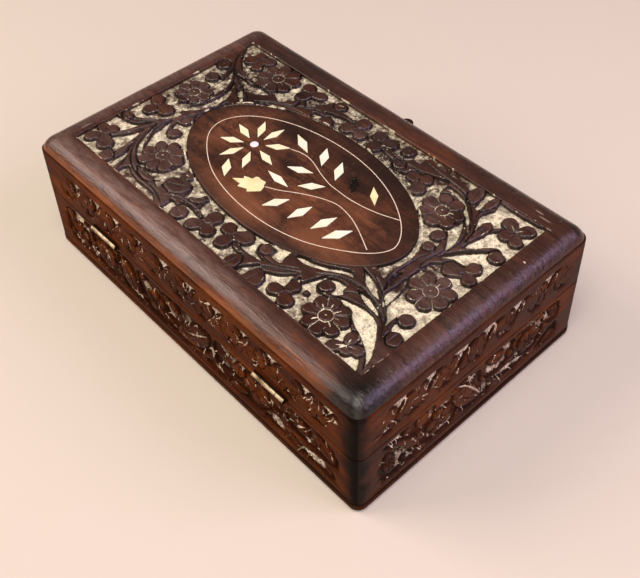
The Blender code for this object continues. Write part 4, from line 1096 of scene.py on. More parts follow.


# The ground that is cut away round the carving of the top, read off
FIELD_POCKETS: dict[str, Outline] = {
    "corner_crescent": (
        (-88.6, 51.6), (-88.2, 48.2), (-86.6, 43), (-83.9, 38.6), (-81.1, 34.8), (-78.3, 31.7),
        (-75, 29.7), (-71.1, 29), (-67.2, 29.3), (-63.9, 30.1), (-60.6, 31), (-57.7, 32.6), (-60, 34.2),
        (-62.2, 33.4), (-64.6, 32.7), (-67.2, 34.4), (-70.6, 36.6), (-73.4, 38), (-76.1, 38.9),
        (-78.9, 40.5), (-81.7, 42.1), (-84.4, 44.1), (-86.7, 47),
    ),
    "upper_left_ground": (
        (-87.8, 54), (-86.9, 50.2), (-84.2, 46.6), (-81.2, 44.4), (-78, 42.6), (-75, 41), (-71.6, 38.8),
        (-66, 36.2), (-61, 35.6), (-55, 37.6), (-53.4, 35.4), (-50.4, 35.4), (-48, 33), (-48.8, 28.6),
        (-47.5, 28.8), (-45.6, 33), (-43.6, 37.2), (-40.4, 34.2), (-39.2, 36), (-33.9, 41.3),
        (-28.9, 44.4), (-33.2, 46.2), (-33.8, 54),
    ),
    "spindle_1": (
        (-75.8, 28.2), (-71.1, 27.9), (-66.1, 27.1), (-60.8, 24.7), (-65.6, 24), (-70, 25.1),
        (-73.4, 26.6),
    ),
    "spindle_2": (
        (-70.2, 22.5), (-65, 22.1), (-60.6, 20.4), (-56.7, 17.2), (-54.6, 15.5), (-58.9, 16.2),
        (-62.8, 17.3), (-66.8, 19.6),
    ),
    "strip_by_medallion": (
        (-55.4, 21.4), (-50.6, 23.5), (-47.2, 25.9), (-43.9, 27.8), (-39.4, 29.5), (-36.1, 30.2),
        (-31.8, 29.8), (-33.3, 28.6), (-36.1, 27.4), (-39.4, 26.7), (-42.8, 25.3), (-46.1, 23.5),
        (-48.9, 21.8), (-52.8, 19.7),
    ),
    "ground_by_bud": (
        (-59.1, 30.1), (-56.2, 33.2), (-53, 32), (-50, 28.6), (-48.9, 28.2), (-51.5, 26.6), (-56.8, 25.9),
        (-57.2, 28),
    ),
    "left_column": (
        (-93, 30.2), (-84, 29.4), (-80.2, 30.4), (-77.6, 26.8), (-74.6, 24.2), (-73.2, 21), (-72.9, 16),
        (-71.9, 11), (-69.9, 7.5), (-69.3, 3), (-69.6, -1), (-70.4, -4.8), (-74.4, -8.3), (-77, -10.8),
        (-80, -12.8), (-83.6, -17.2), (-93, -14),
    ),
    "leaf_by_column": (
        (-73.4, 24.2), (-70.6, 22), (-68.9, 18.4), (-69.4, 13), (-69, 9), (-70.2, 7.6), (-72.2, 11),
        (-72.8, 15), (-73.2, 19.5),
    ),
    "sliver_by_column": ((-67.8, 18), (-66, 14), (-65, 9.6), (-66.4, 6.4), (-67.4, 11)),
    "strip_west": (
        (-64.4, 13.6), (-60.2, 12.8), (-55, 8), (-55, -8), (-57, -14), (-61, -10.5), (-62.8, -6.5),
        (-63.9, -1.5), (-63.7, 3.5), (-62.8, 8),
    ),
    "wedge_west": (
        (-93, -13), (-88, -16), (-83.4, -17.4), (-80, -12.6), (-75.4, -12), (-70, -8.7), (-70.7, -11.6),
        (-73.3, -15.6), (-77, -20.4), (-81.4, -24.6), (-84, -28.4), (-93, -28),
    ),
    "ground_south_west": (
        (-93, -26.5), (-84, -28.4), (-80.6, -26.4), (-76.6, -21.6), (-72.7, -18.8), (-71.7, -22.5),
        (-70.9, -27), (-68.9, -32), (-66.6, -36.8), (-67.4, -41), (-68.6, -44), (-66.8, -49.4),
        (-73, -48.8), (-79, -48.9), (-86, -49.4), (-93, -49.2),
    ),
    "crescent_inner": (
        (-69.8, -12.8), (-67.3, -16.5), (-65, -19.8), (-62, -21.8), (-61.6, -24.5), (-63, -27),
        (-63.4, -31.2), (-66.1, -28.4), (-68.3, -24), (-70, -18.3),
    ),
    "crescent_outer": (
        (-69.7, -27.8), (-66.1, -32.3), (-62.2, -36.2), (-58.3, -39.3), (-53.9, -41.2), (-49.4, -41.8),
        (-45.9, -41.5), (-46.2, -38.1), (-48.3, -39.5), (-52.8, -39.1), (-57.2, -37.1), (-60.6, -34),
        (-64.4, -30.7), (-68.3, -27.1),
    ),
    "ground_by_medallion": (
        (-66.5, -10.8), (-66, -13.5), (-64.5, -18), (-62, -21), (-60, -26), (-60, -31), (-56, -36.6),
        (-47, -36), (-45.8, -41.3), (-44.8, -43.4), (-40, -42.6), (-33.4, -40), (-29.2, -38.6),
        (-29.4, -35.6), (-26, -34), (-20.5, -32.6), (-28, -26), (-40, -21), (-50, -14), (-56, -8),
        (-60, -8),
    ),
    "lower_strip": (
        (-54.4, -45.4), (-50, -47.2), (-42, -46.9), (-35, -47.4), (-31, -48.7), (-28.4, -46.8),
        (-28.6, -43.2), (-25, -43.4), (-23.6, -46), (-20, -53), (-56, -53), (-54.6, -48),
    ),
    "between_drops": (
        (-64, -39.2), (-61.6, -40), (-60.6, -44), (-58.8, -49), (-57, -53), (-67, -53), (-63.8, -46.5),
    ),
    "south_ground": (
        (-24.5, -53), (-23.4, -41.2), (-14, -40.7), (-12.4, -38.3), (-18.7, -36.7), (-19.2, -29),
        (14, -29), (14.4, -33.8), (16.6, -35.6), (19.8, -38), (25.6, -38.4), (22, -40.3), (15.2, -41.9),
        (14.4, -43.9), (20.2, -43.8), (21, -47), (23.6, -53),
    ),
    "south_star": ((20.8, -31.2), (26.4, -30.8), (28.6, -34.6), (24, -36.3), (23.2, -34)),
    "south_east_strip": (
        (28.6, -29.6), (32.2, -27.5), (38.9, -24.9), (44.4, -22.1), (49.4, -19.6), (52.2, -20.1),
        (52.9, -21.8), (46.1, -24.1), (41.1, -26.3), (35, -28.5),
    ),
    "short_strip": (
        (55, -15.3), (58.3, -16.2), (63.9, -19.2), (66.7, -22.2), (65.7, -23.6), (62.8, -22.5),
        (58.9, -19.8),
    ),
    "arch_strip": (
        (51.6, -29), (55.6, -25.5), (59.4, -23.8), (63.3, -23.4), (68.3, -25.9), (74.4, -28.8),
        (69.4, -28.8), (63.9, -28.5), (59.4, -29.9), (55, -30.6),
    ),
    "arch_ground": (
        (25.8, -53), (27.2, -46), (29, -41.5), (31.7, -37.5), (35, -34), (38.9, -31), (38.4, -33.5),
        (39.6, -36), (44.8, -28.9), (50.6, -31), (54, -31.8), (63.7, -30.7), (68, -30.9), (72.2, -31.5),
        (78.3, -34.2), (83.9, -39.3), (86.9, -43.6), (88.6, -53),
    ),
    "wedge_south_east": (
        (73, 7.8), (69.2, 5), (66.2, 1.2), (64.2, -3), (63.2, -7.5), (63.8, -13.3), (66, -18.4),
        (69.4, -23), (72.1, -25.5), (70.3, -22), (68.5, -17.2), (67.6, -12.2), (68, -7), (69, -2),
        (72, 2), (76, 5),
    ),
    "east_ground": (
        (70, -12.2), (70.2, -17.2), (72.1, -22.3), (76, -27.4), (81.6, -32.2), (82, -28.8), (84.6, -25.8),
        (93, -24.8), (93, 23.4), (87.6, 23.2), (82.5, 24.2), (77.3, 21.2), (71.8, 16.4), (69.8, 13.2),
        (67.4, 8.2), (70, 7.4), (73, 5.6), (71, 0), (69.8, -6),
    ),
    "above_right_stem": (
        (72.8, 20.4), (75, 26), (77.5, 32.6), (79.7, 36.6), (84, 36), (93, 37), (93, 29.5), (87.6, 29.2),
        (82, 28.5), (78, 26.6), (74.6, 22.2),
    ),
    "between_stems": (
        (68.9, 44.2), (72.4, 43.9), (74.5, 41.5), (78.4, 39.9), (75.4, 35), (73.6, 31), (72.2, 25.4),
        (71.3, 28), (69.9, 34), (68.9, 39),
    ),
    "tall_wedge": (
        (60.4, 54), (61.9, 45), (63.9, 40.5), (67.3, 35.8), (69.9, 29.6), (68.6, 35.5), (66.9, 38.2),
        (65.6, 41), (65.2, 46), (66.2, 54),
    ),
    "corner_ground_right": (
        (65.6, 54), (65.6, 45), (68.9, 44.4), (73, 44.2), (74.6, 41.8), (79, 39.6), (83, 34), (87, 35.6),
        (93, 36), (93, 54),
    ),
    "top_strip": (
        (29.4, 54), (33.3, 49.3), (37.8, 47.9), (45.6, 48.1), (51.7, 47.5), (56.6, 45.8), (55.6, 54),
    ),
    "crescent_right": (
        (42.2, 42.6), (47.2, 42.5), (53.9, 42.1), (58.3, 40.4), (63.3, 37.1), (66.8, 33.2), (69.2, 28),
        (71.8, 19.8), (70.1, 21.4), (67.1, 28), (63.8, 32.4), (59.9, 35.8), (56, 37.4), (52.6, 38.6),
        (47, 40.6),
    ),
    "ground_left_of_rosette": (
        (37.2, 44.6), (42.2, 43.2), (47, 41), (43, 37), (42, 33), (42, 28), (44, 23.2), (41.6, 23.6),
        (39, 26.4), (35.8, 30), (35.8, 35.4), (38.2, 37.5), (37.8, 41),
    ),
    "ground_right_of_rosette": (
        (46, 22.4), (50, 12), (56, 6), (60.5, 8), (61.4, 11.6), (64.2, 12.6), (66.6, 12.8), (68.7, 14.2),
        (67.7, 20), (67.1, 25), (65.2, 29.2), (62, 33.8), (58.6, 35), (50, 30),
    ),
    "strip_east": (
        (57, 11), (60.8, 9.5), (62.1, 4), (62.2, -3), (61.4, -11.2), (59.6, -10.4), (55, 0),
    ),
    "north_slip": (
        (-24.2, 54), (-19.2, 54), (-21.6, 47.8), (-25.3, 42.6), (-26.4, 43.2), (-25.8, 46),
    ),
    "north_ground": (
        (-14, 54), (-14.2, 46.2), (-16.8, 44.8), (-11, 43.8), (-9.6, 41.5), (-15, 42), (-21.7, 41.9),
        (-25.6, 40.4), (-20.6, 39.2), (-18.6, 37.6), (-17.8, 35), (-19.8, 31), (-10, 26), (12, 26),
        (20, 28.5), (29.4, 29.6), (31.2, 32.5), (30.6, 34.8), (27, 35), (25.4, 38.5), (26, 41.5),
        (28.2, 43.8), (26.8, 46), (26.6, 50), (25.4, 54),
    ),
    "north_pit": (
        (-30.8, 36.4), (-25, 36.7), (-24.4, 33), (-23, 32), (-29.4, 30.6), (-29.8, 33.5),
    ),
}

# Stems that stay standing across that ground: x, y and width
FIELD_STEMS: Sequence[Path] = (
    ((-89, 52, 1.6), (-86.2, 47.4, 1.2), (-82.4, 43.4, 1.2), (-78.6, 41.4, 1.6)),
    ((-41.2, 42, 1.4), (-40.3, 38, 1.2), (-40.8, 33.6, 2)),
    ((-81.4, 31.4, 2), (-80.7, 27.6, 1.6), (-80.3, 24, 0.8)),
    ((-67.8, -9, 2.4), (-67, -13.5, 1.6), (-65.4, -18, 1.2), (-62.8, -21.4, 1.2)),
    ((-78, -38.4, 1.6), (-76.4, -36, 1.5), (-73.6, -32.6, 1.8)),
    ((-72, -19, 2), (-72.4, -24, 1.6)),
    ((-34.5, -41.4, 3.2), (-28, -39.4, 3.8), (-20, -38.8, 3.4), (-12, -40.4, 1.6)),
    ((10.6, -42.6, 1.6), (15, -43, 1.7), (20.4, -41.9, 2.2), (26, -39.6, 2.6)),
    ((63, 20.4, 1.5), (65.2, 17.2, 1.5), (67, 13, 1.8), (67.6, 9, 2.2)),
    ((66.4, 46, 1.8), (67.6, 41, 1.6), (68.8, 35, 1.8)),
    ((77.6, -22, 1.3), (79, -26, 1.4), (81.4, -31.6, 1.8)),
    ((9.2, 42.8, 1.2), (13, 41.8, 1.8), (19, 41, 2.4), (26.5, 42.2, 3.4)),
    ((21.5, 45, 1.6), (25, 43.9, 1.7), (29, 44, 2.2)),
    ((15.4, 40.6, 1.2), (16.2, 38.4, 1), (16.6, 35.4, 0.8)),
    ((36.6, -32, 1), (36, -35, 2.2), (38.4, -37.4, 2.4)),
    ((-10.6, 41.4, 1.4), (-16, 43.2, 2), (-22, 42.6, 2.4)),
)

# Rosettes: x, y, radius, petals, turn and how much whitewash their grooves hold
FIELD_ROSETTES: Path = (
    (-61.8, 41.7, 10, 8, 17, 0.8), (-80.1, 6.1, 9.5, 7, 10, 0.5), (51.7, 31.3, 10.4, 8, 15, 0.35),
    (78.1, -5.8, 9.1, 8, 5, 0.45), (58.4, -40.1, 10.9, 8, 22, 0.5), (-54.2, -28.9, 9.8, 7, -8, 0.55),
)

FIELD_FLOWERS: Sequence[Path] = (
    ((-73.3, 49, 2.8), (-78, 47.4, 2.3), (-81.4, 44.6, 2.5), (-75.8, 42, 2.9)),
    ((-45.8, 47.4, 3.4), (-38.9, 46.3, 3.1), (-43.1, 40.8, 3)),
    ((-6.1, 44.9, 3.4), (-10.8, 37.4, 3.8), (-2.2, 38.6, 3.2)),
    ((2.8, 45.5, 3.3), (10, 47.4, 3.3), (6.1, 39.1, 3.6)),
    ((76.7, 44.1, 3.9), (85, 45.8, 3.2), (86.1, 38.4, 2.8), (82.2, 36.2, 2.8)),
    ((82.2, 16.3, 3.4), (76.7, 11.3, 3.9), (85.6, 9.1, 3.2)),
    ((72.8, -39.1, 2.9), (79.1, -40.9, 3.3), (71.7, -46, 3.3), (77.8, -45.8, 2.9)),
    ((40.8, -39.4, 3.4), (34.7, -45, 3), (42.8, -45.6, 3.3)),
    ((2.8, -38.9, 3.3), (10, -38.3, 3.7), (6.9, -45, 3.5)),
    ((-6.9, -37.8, 3.5), (-11.1, -43.9, 3.4), (-4.2, -44.2, 3.4)),
    ((-38.3, -31.4, 3.5), (-32.2, -35.6, 3.1), (-37.2, -37.8, 3)),
    ((-85.6, -36.1, 2.9), (-80.6, -36.2, 2.9), (-85.3, -44, 3.2), (-77.6, -42.6, 3.3)),
    ((-86.1, -8.3, 3), (-77.8, -7.8, 3.7), (-83.6, -13.9, 3.2)),
)

# A scratch on the border beside the field: x, y and width
BORDER_SCRATCH: Path = ((86.9, 56.4, 0.5), (88.3, 53.0, 0.5), (87.6, 51.2, 0.5))

# Flowers with more whitewash in their grooves, by the x of their first petal
WELL_FILLED = {-73.3: 0.95, -85.6: 0.8, 76.7: 0.35, -45.8: 0.5}

FIELD_BUDS: Path = (
    (-51.4, 31.6, 3.1), (-83.5, 22.4, 3.2), (-21.7, 35.4, 3), (19.2, 47.2, 3.7), (33.6, 31.7, 2.9),
    (60.6, 18.6, 3.1), (69.4, 48.4, 3.4), (81.7, -19.4, 3.4), (85.4, -29.4, 3.4), (19.7, -34.4, 3.1),
    (22.8, -46.4, 3.1), (-19.7, -45.8, 3.2), (-85.8, -24.4, 3.2), (-62.2, -17.6, 3), (-63.7, -10.6, 2.6),
    (-48.6, 39.2, 1.2),
)

FIELD_LEAVES: tuple[tuple[Outline, tuple], ...] = (
    (((-72.6, -22.6), (-74.6, -30), (-74.8, -34.4), (-72.2, -37.6), (-70, -34.6), (-71, -29)),
     ((-72.6, -27, 0.5), (-72.4, -34, 1))),
    (((-65, -39.6), (-67.2, -44), (-67.4, -48.6), (-65.6, -50.6), (-63.8, -48.2), (-63.6, -43)),
     ((-65.6, -43, 0.5), (-65.6, -48, 1))),
    (((-60.2, -40.2), (-60.4, -46), (-58.6, -50.2), (-55.4, -50), (-54.2, -45), (-56.6, -40.8)),
     ((-58.6, -43, 0.6), (-57.2, -48.6, 0.9))),
    (((26.4, 36), (27, 40), (31, 43), (37.6, 41.6), (37.4, 36.4), (32.6, 33.8), (28.2, 33.6)),
     ((27.8, 35.4, 0.7), (32.4, 38.4, 1), (36.4, 40.4, 0.6))),
    (((15.8, 33.8), (16.6, 37.6), (19.6, 40), (23, 39.2), (20, 36.6), (18.6, 33.2)),
     ((17.2, 35, 0.6), (20.6, 38.6, 0.9))),
    (((-33.2, 51.2), (-32.8, 46.4), (-29.4, 43.8), (-26.2, 45.6), (-25.4, 51.2)),
     ((-29.2, 45, 0.5), (-28.6, 51, 0.9))),
    (((-19.8, 51.2), (-19.6, 46.4), (-17.2, 44.2), (-14.4, 46.4), (-14, 51.2)),
     ((-17.2, 45.4, 0.5), (-16.8, 51, 0.8))),
    (((-89.6, 33.6), (-86.4, 35.4), (-83.4, 33), (-83.6, 29.8), (-86.2, 28.2), (-89, 30)),
     ((-85.9, 34.2, 0.8), (-85.9, 29.6, 1.4))),
    (((41.6, 44.6), (44.6, 45.8), (49.8, 45.2), (53.8, 42.6), (48, 42.6), (43, 42.4)),
     ((43.6, 44, 0.6), (50.6, 43.8, 0.8))),
    (((82, 27.9), (84.8, 28.4), (88.4, 26.6), (87.2, 23.6), (84, 23.4), (82.4, 25.2)),
     ((83.6, 26.6, 0.8), (86.8, 25.6, 0.8))),
    (((-22.6, -34), (-26.2, -36.6), (-22.8, -39.8), (-19.4, -36.8)),
     ((-22.8, -35.2, 0.6), (-22.8, -38.6, 0.9))),
)

# Grooves cut into the standing wood: x, y and width
FIELD_CUTS: Sequence[Path] = (
    ((-84, 36, 0.5), (-78.6, 29.6, 1), (-73.2, 26, 1.3), (-67, 23.6, 1.4),
     (-60, 23.2, 1.4), (-53, 24.6, 1.2), (-48.5, 27.2, 1), (-44.2, 30.8, 0.6)),
    ((-79.6, 30, 0.5), (-76, 25.2, 1), (-71.4, 21.2, 1.2), (-66.6, 18.2, 1.2), (-59.6, 14.6, 0.6)),
    ((-40, 34.2, 0.6), (-33.9, 38.6, 1.3), (-28.3, 42, 1.2), (-23.2, 47.6, 0.7), (-20.6, 51, 0.5)),
    ((-38, 33.6, 0.6), (-31, 38.4, 1), (-24.6, 39, 0.9), (-20.6, 37.4, 0.5)),
    ((-67, 24.8, 0.5), (-61, 27.4, 1.1), (-57.6, 30.4, 0.6)),
    ((-67.4, 17.6, 0.6), (-65.2, 12, 1.2), (-64.8, 5, 1.3), (-65.4, -2, 1.2), (-66.6, -8, 0.7)),
    ((-69.4, 1, 0.5), (-68, -3, 1.1), (-68.8, -8, 1.1), (-69.4, -13, 0.6)),
    ((-70.4, -11, 0.6), (-70.9, -19, 1.1), (-69.4, -25.6, 1.1), (-65.4, -33.4, 1.2),
     (-60.4, -38.8, 1.2), (-54, -42.6, 1.3), (-46.8, -43.8, 1.2), (-38.6, -44.4, 1), (-30.6, -45.6, 0.6)),
    ((-71, -11, 0.5), (-75, -17, 0.9), (-80, -23.2, 0.9), (-83.4, -25.6, 0.5)),
    ((-66.2, -34, 0.5), (-65.4, -38.6, 0.9), (-65.2, -42, 0.5)),
    ((-45, -42.8, 0.5), (-38, -41.2, 0.9), (-30, -39.4, 1.1), (-21, -38.8, 1), (-14, -40, 0.5)),
    ((10, 42.4, 0.5), (17.2, 41.4, 1), (25.6, 42.4, 1.1), (31, 45.8, 0.8)),
    ((27, 49.8, 0.6), (33, 47.6, 1.3), (39, 46.2, 1.3), (47.2, 46.2, 1.2), (56, 44.2, 1.3),
     (61.6, 40.9, 1.2), (66.2, 36, 1), (69.6, 30, 0.7)),
    ((58, 51, 0.8), (60, 46.2, 1.2), (62.8, 41.6, 1)),
    ((64.8, 31.4, 0.6), (67.9, 25.4, 1.2), (69.2, 19.4, 1.4), (69, 12.6, 1)),
    ((64.6, 13.8, 0.6), (65.4, 8, 1.3), (63.4, 2.6, 1.3), (62.9, -5, 1.2), (63, -11, 1),
     (66, -18, 0.7)),
    ((59, 8.6, 0.5), (62.6, 5.4, 1), (64, 1, 0.6)),
    ((72.4, 18, 0.8), (77.4, 24, 1.1), (83, 26.6, 1), (88.6, 26, 0.6)),
    ((68.2, -17, 0.5), (70.2, -22, 1), (74.6, -27.2, 1.1), (80.6, -32, 1.3), (85.4, -38, 1.2),
     (88.4, -46, 0.7)),
    ((54.6, -18.8, 0.6), (61, -22.9, 1.2), (67, -24.6, 1.2), (73.6, -27.8, 1.2), (79.6, -32, 0.8)),
    ((50.4, -29.2, 0.5), (57, -30.4, 0.8), (64, -29.6, 1), (72, -30.2, 0.8), (78, -32.6, 0.5)),
    ((53.4, -20.6, 0.5), (47, -25.6, 1.4), (41, -29.2, 1.4), (35.6, -33, 1.2), (31.6, -36.6, 0.9),
     (28.2, -41.6, 0.6)),
    ((29, -30.4, 0.5), (34, -30.2, 1), (40, -28, 0.9)),
    ((26, -37.6, 0.6), (29.6, -36, 1), (33.4, -33.4, 0.6)),
    ((79.2, 37.6, 0.6), (76.6, 34.6, 0.9), (73.6, 28.4, 0.9), (71.6, 22.4, 0.6)),
)

# Where more or less whitewash is left: x, y, radius and amount
FIELD_WASH: Path = (
    (-80, 38, 13, 0.5), (-68, 31, 9, 0.36), (-78, -16, 10, 0.26), (-87, 16, 9, 0.20),
    (-84, -38, 14, 0.14), (-56, -39, 8, 0.12), (-37, 43, 8, 0.24), (-46, 24, 12, 0.18),
    (-25, 24, 12, 0.2), (5, 38, 30, 0.02), (-62, 44, 9, -0.10), (62, -26, 9, -0.04), (84, 0, 14, -0.12),
    (80, 31, 10, 0.12), (66, 22, 8, 0.10), (48, 38, 12, -0.06), (15, -46, 9, 0.06), (-40, -46, 12, -0.16),
    (-72, 12, 7, -0.16), (-66, 11, 4, -0.35), (36, -27, 9, -0.16), (84, -47, 8, -0.08),
    (-73, -3, 6, -0.16), (0, -42, 26, -0.12), (70, -34, 14, -0.08),
)


@dataclass(frozen=True)
class Oval:
    """An oval line round the middle of the top."""

    centre_x: float
    centre_y: float
    half_length: float
    half_width: float

    def outline(self, steps: int, grow: float = 0.0, point: float = 1.0) -> Array:
        """Return points round the oval.

        Args:
            steps: how many points.
            grow: distance to move it outwards.
            point: more than 1 draws its left end out to a point.

        Returns:
            The points, going anticlockwise.
        """
        angle = np.linspace(0.0, 2 * math.pi, steps, endpoint=False)
        cosine, sine = np.cos(angle), np.sin(angle)
        narrow = np.where(cosine < 0, np.abs(sine) ** point, np.abs(sine)) * np.sign(sine)
        x = self.centre_x + (self.half_length + grow) * cosine
        y = self.centre_y + (self.half_width + grow) * narrow
        return np.stack([x, y], -1)

    def reach(self, x: Array, y: Array) -> Array:
        """Return about how far each place lies inside the oval."""
        share = np.hypot((x - self.centre_x) / self.half_length, (y - self.centre_y) / self.half_width)
        return (1.0 - share) * self.half_width


MEDALLION = Oval(0.3, 0.0, 61.4, 33.9)


@dataclass
class CarvedField:
    """The sunk field of the lid's top, carved with flowers, buds and stems."""

    left: float = -89.9
    right: float = 88.9
    front: float = -50.2
    back: float = 51.3
    pitch: float = 0.34
    ground_depth: float = 1.75
    seed: int = 11

    def carve(self) -> Relief:
        """Carve the whole field."""
        across = np.linspace(self.left, self.right, int((self.right - self.left) / self.pitch) + 1)
        up = np.linspace(self.front, self.back, int((self.back - self.front) / self.pitch) + 1)
        relief = Relief(across, up, self.ground_depth, self.seed)
        for outline in FIELD_POCKETS.values():
            relief.sink(outline)
        for path in FIELD_STEMS:
            relief.leave(path)
        for rosette in FIELD_ROSETTES:
            relief.rosette(*rosette)
        for petals in FIELD_FLOWERS:
            relief.flower(petals, WELL_FILLED.get(petals[0][0], 0.25))
        for bud in FIELD_BUDS:
            relief.bud(*bud)
        for outline, vein in FIELD_LEAVES:
            relief.leaf(outline, vein)
        for path in FIELD_CUTS:
            relief.cut(path, 0.75)
        for spot in FIELD_WASH:
            relief.brighten(*spot)
        relief.settle()
        return relief

    def build(self, palette: Palette) -> list[Piece]:
        """Make the field in two pieces, left and right."""
        relief = self.carve()
        reach = MEDALLION.reach(relief.x, relief.y)
        under_oval = np.minimum(relief.depth, -1.1 * smooth_step(-0.15, 0.5, reach))
        depth = np.where(reach > -0.2, under_oval, relief.depth)
        tone = 0.30 + 0.10 * relief.noise(22.0, 9)
        chalky = relief.noise(9.0, 10) + 0.6 * relief.noise(1.7, 11)
        ring = hump(reach, -0.75, 0.42) * smooth_step(-0.35, 0.25, chalky)
        wash = np.maximum(relief.wash, 0.85 * ring)
        film = 0.55 + 0.6 * relief.noise(16.0, 9)
        film -= 0.5 * smooth_step(30.0, 52.0, relief.x) * smooth_step(8.0, -20.0, relief.y)
        shade_and_grime = relief.shade_and_grime * (1 - 0.8 * ring)
        paint = {"wash": wash, "shade_and_grime": shade_and_grime, "tone": tone, "film": clamp(film)}
        keep = reach[:-1, :-1] < 1.4
        middle = relief.x.shape[1] // 2
        pieces = []
        for label, columns in (("left", slice(0, middle + 1)), ("right", slice(middle, None))):
            part = (slice(None), columns)
            heights = BOX.wood_top + depth[part]
            shape = np.stack([relief.x[part], relief.y[part], heights], -1)
            painted = {kind: values[part] for kind, values in paint.items()}
            name = "carved_field_" + label
            piece = self.close_up(name, shape, keep[:, columns], painted, palette.field_wood)
            pieces.append(put_on(piece, "lid"))
        return pieces

    def close_up(self, name: str, shape: Array, keep: Array, paint: Paint, material: Material) -> Piece:
        """Turn part of the carving into a closed piece with a flat underside.

        Args:
            name: the piece's name.
            shape: its points in rows and columns.
            keep: which of the small squares are part of the field.
            paint: values for each point.
            material: its finish.

        Returns:
            The piece.
        """
        rows, columns = shape.shape[:2]
        row, column = np.nonzero(keep[: rows - 1, : columns - 1])
        corner = row * columns + column
        faces = np.stack([corner, corner + 1, corner + columns + 1, corner + columns], -1)
        used, renumbered = np.unique(faces, return_inverse=True)
        mesh = bpy.data.meshes.new(name)
        points = shape.reshape(-1, 3)[used] * MM
        mesh.from_pydata(points.tolist(), [], renumbered.reshape(-1, 4).tolist())
        paint_points(mesh, {kind: values.ravel()[used] for kind, values in paint.items()})
        work = bmesh.new()
        work.from_mesh(mesh)
        rim = [edge for edge in work.edges if edge.is_boundary]
        made = bmesh.ops.extrude_edge_only(work, edges=rim)["geom"]
        for item in made:
            if isinstance(item, bmesh.types.BMVert):
                item.co.z = BOX.field_floor * MM
        low_edges = [item for item in made if isinstance(item, bmesh.types.BMEdge) and item.is_boundary]
        bmesh.ops.triangle_fill(work, edges=low_edges, use_beauty=False, use_dissolve=False)
        bmesh.ops.recalc_face_normals(work, faces=work.faces)
        work.to_mesh(mesh)
        work.free()
        return finish_mesh(name, mesh, material, 50.0)


# Boards


@dataclass
class Rim:
    """Rings of points round a rounded rectangle, all with the same count."""

    corner_steps: int = 8
    long_steps: int = 120
    short_steps: int = 76

    def ring(self, left: float, right: float, front: float, back: float, radius: float, z: float) -> Array:
        """Return one ring.

        Args:
            left: lowest x.
            right: highest x.
            front: lowest y.
            back: highest y.
            radius: radius of its corners.
            z: its height.

        Returns:
            The points of the ring, going anticlockwise from the front right corner.
        """
        corners = (
            (right - radius, front + radius, -90.0, self.short_steps),
            (right - radius, back - radius, 0.0, self.long_steps),
            (left + radius, back - radius, 90.0, self.short_steps),
            (left + radius, front + radius, 180.0, self.long_steps),
        )
        arcs = []
        for x, y, start, _ in corners:
            turn = np.radians(start + np.linspace(0.0, 90.0, self.corner_steps + 1))
            arcs.append(np.stack([x + radius * np.cos(turn), y + radius * np.sin(turn)], -1))
        points = []
        for index, (_, _, _, steps) in enumerate(corners):
            end, begin = arcs[index][-1], arcs[(index + 1) % 4][0]
            share = (np.arange(1, steps) / steps)[:, None]
            points += [arcs[index], end + (begin - end) * share]
        flat = np.vstack(points)
        return np.column_stack([flat, np.full(len(flat), z)])


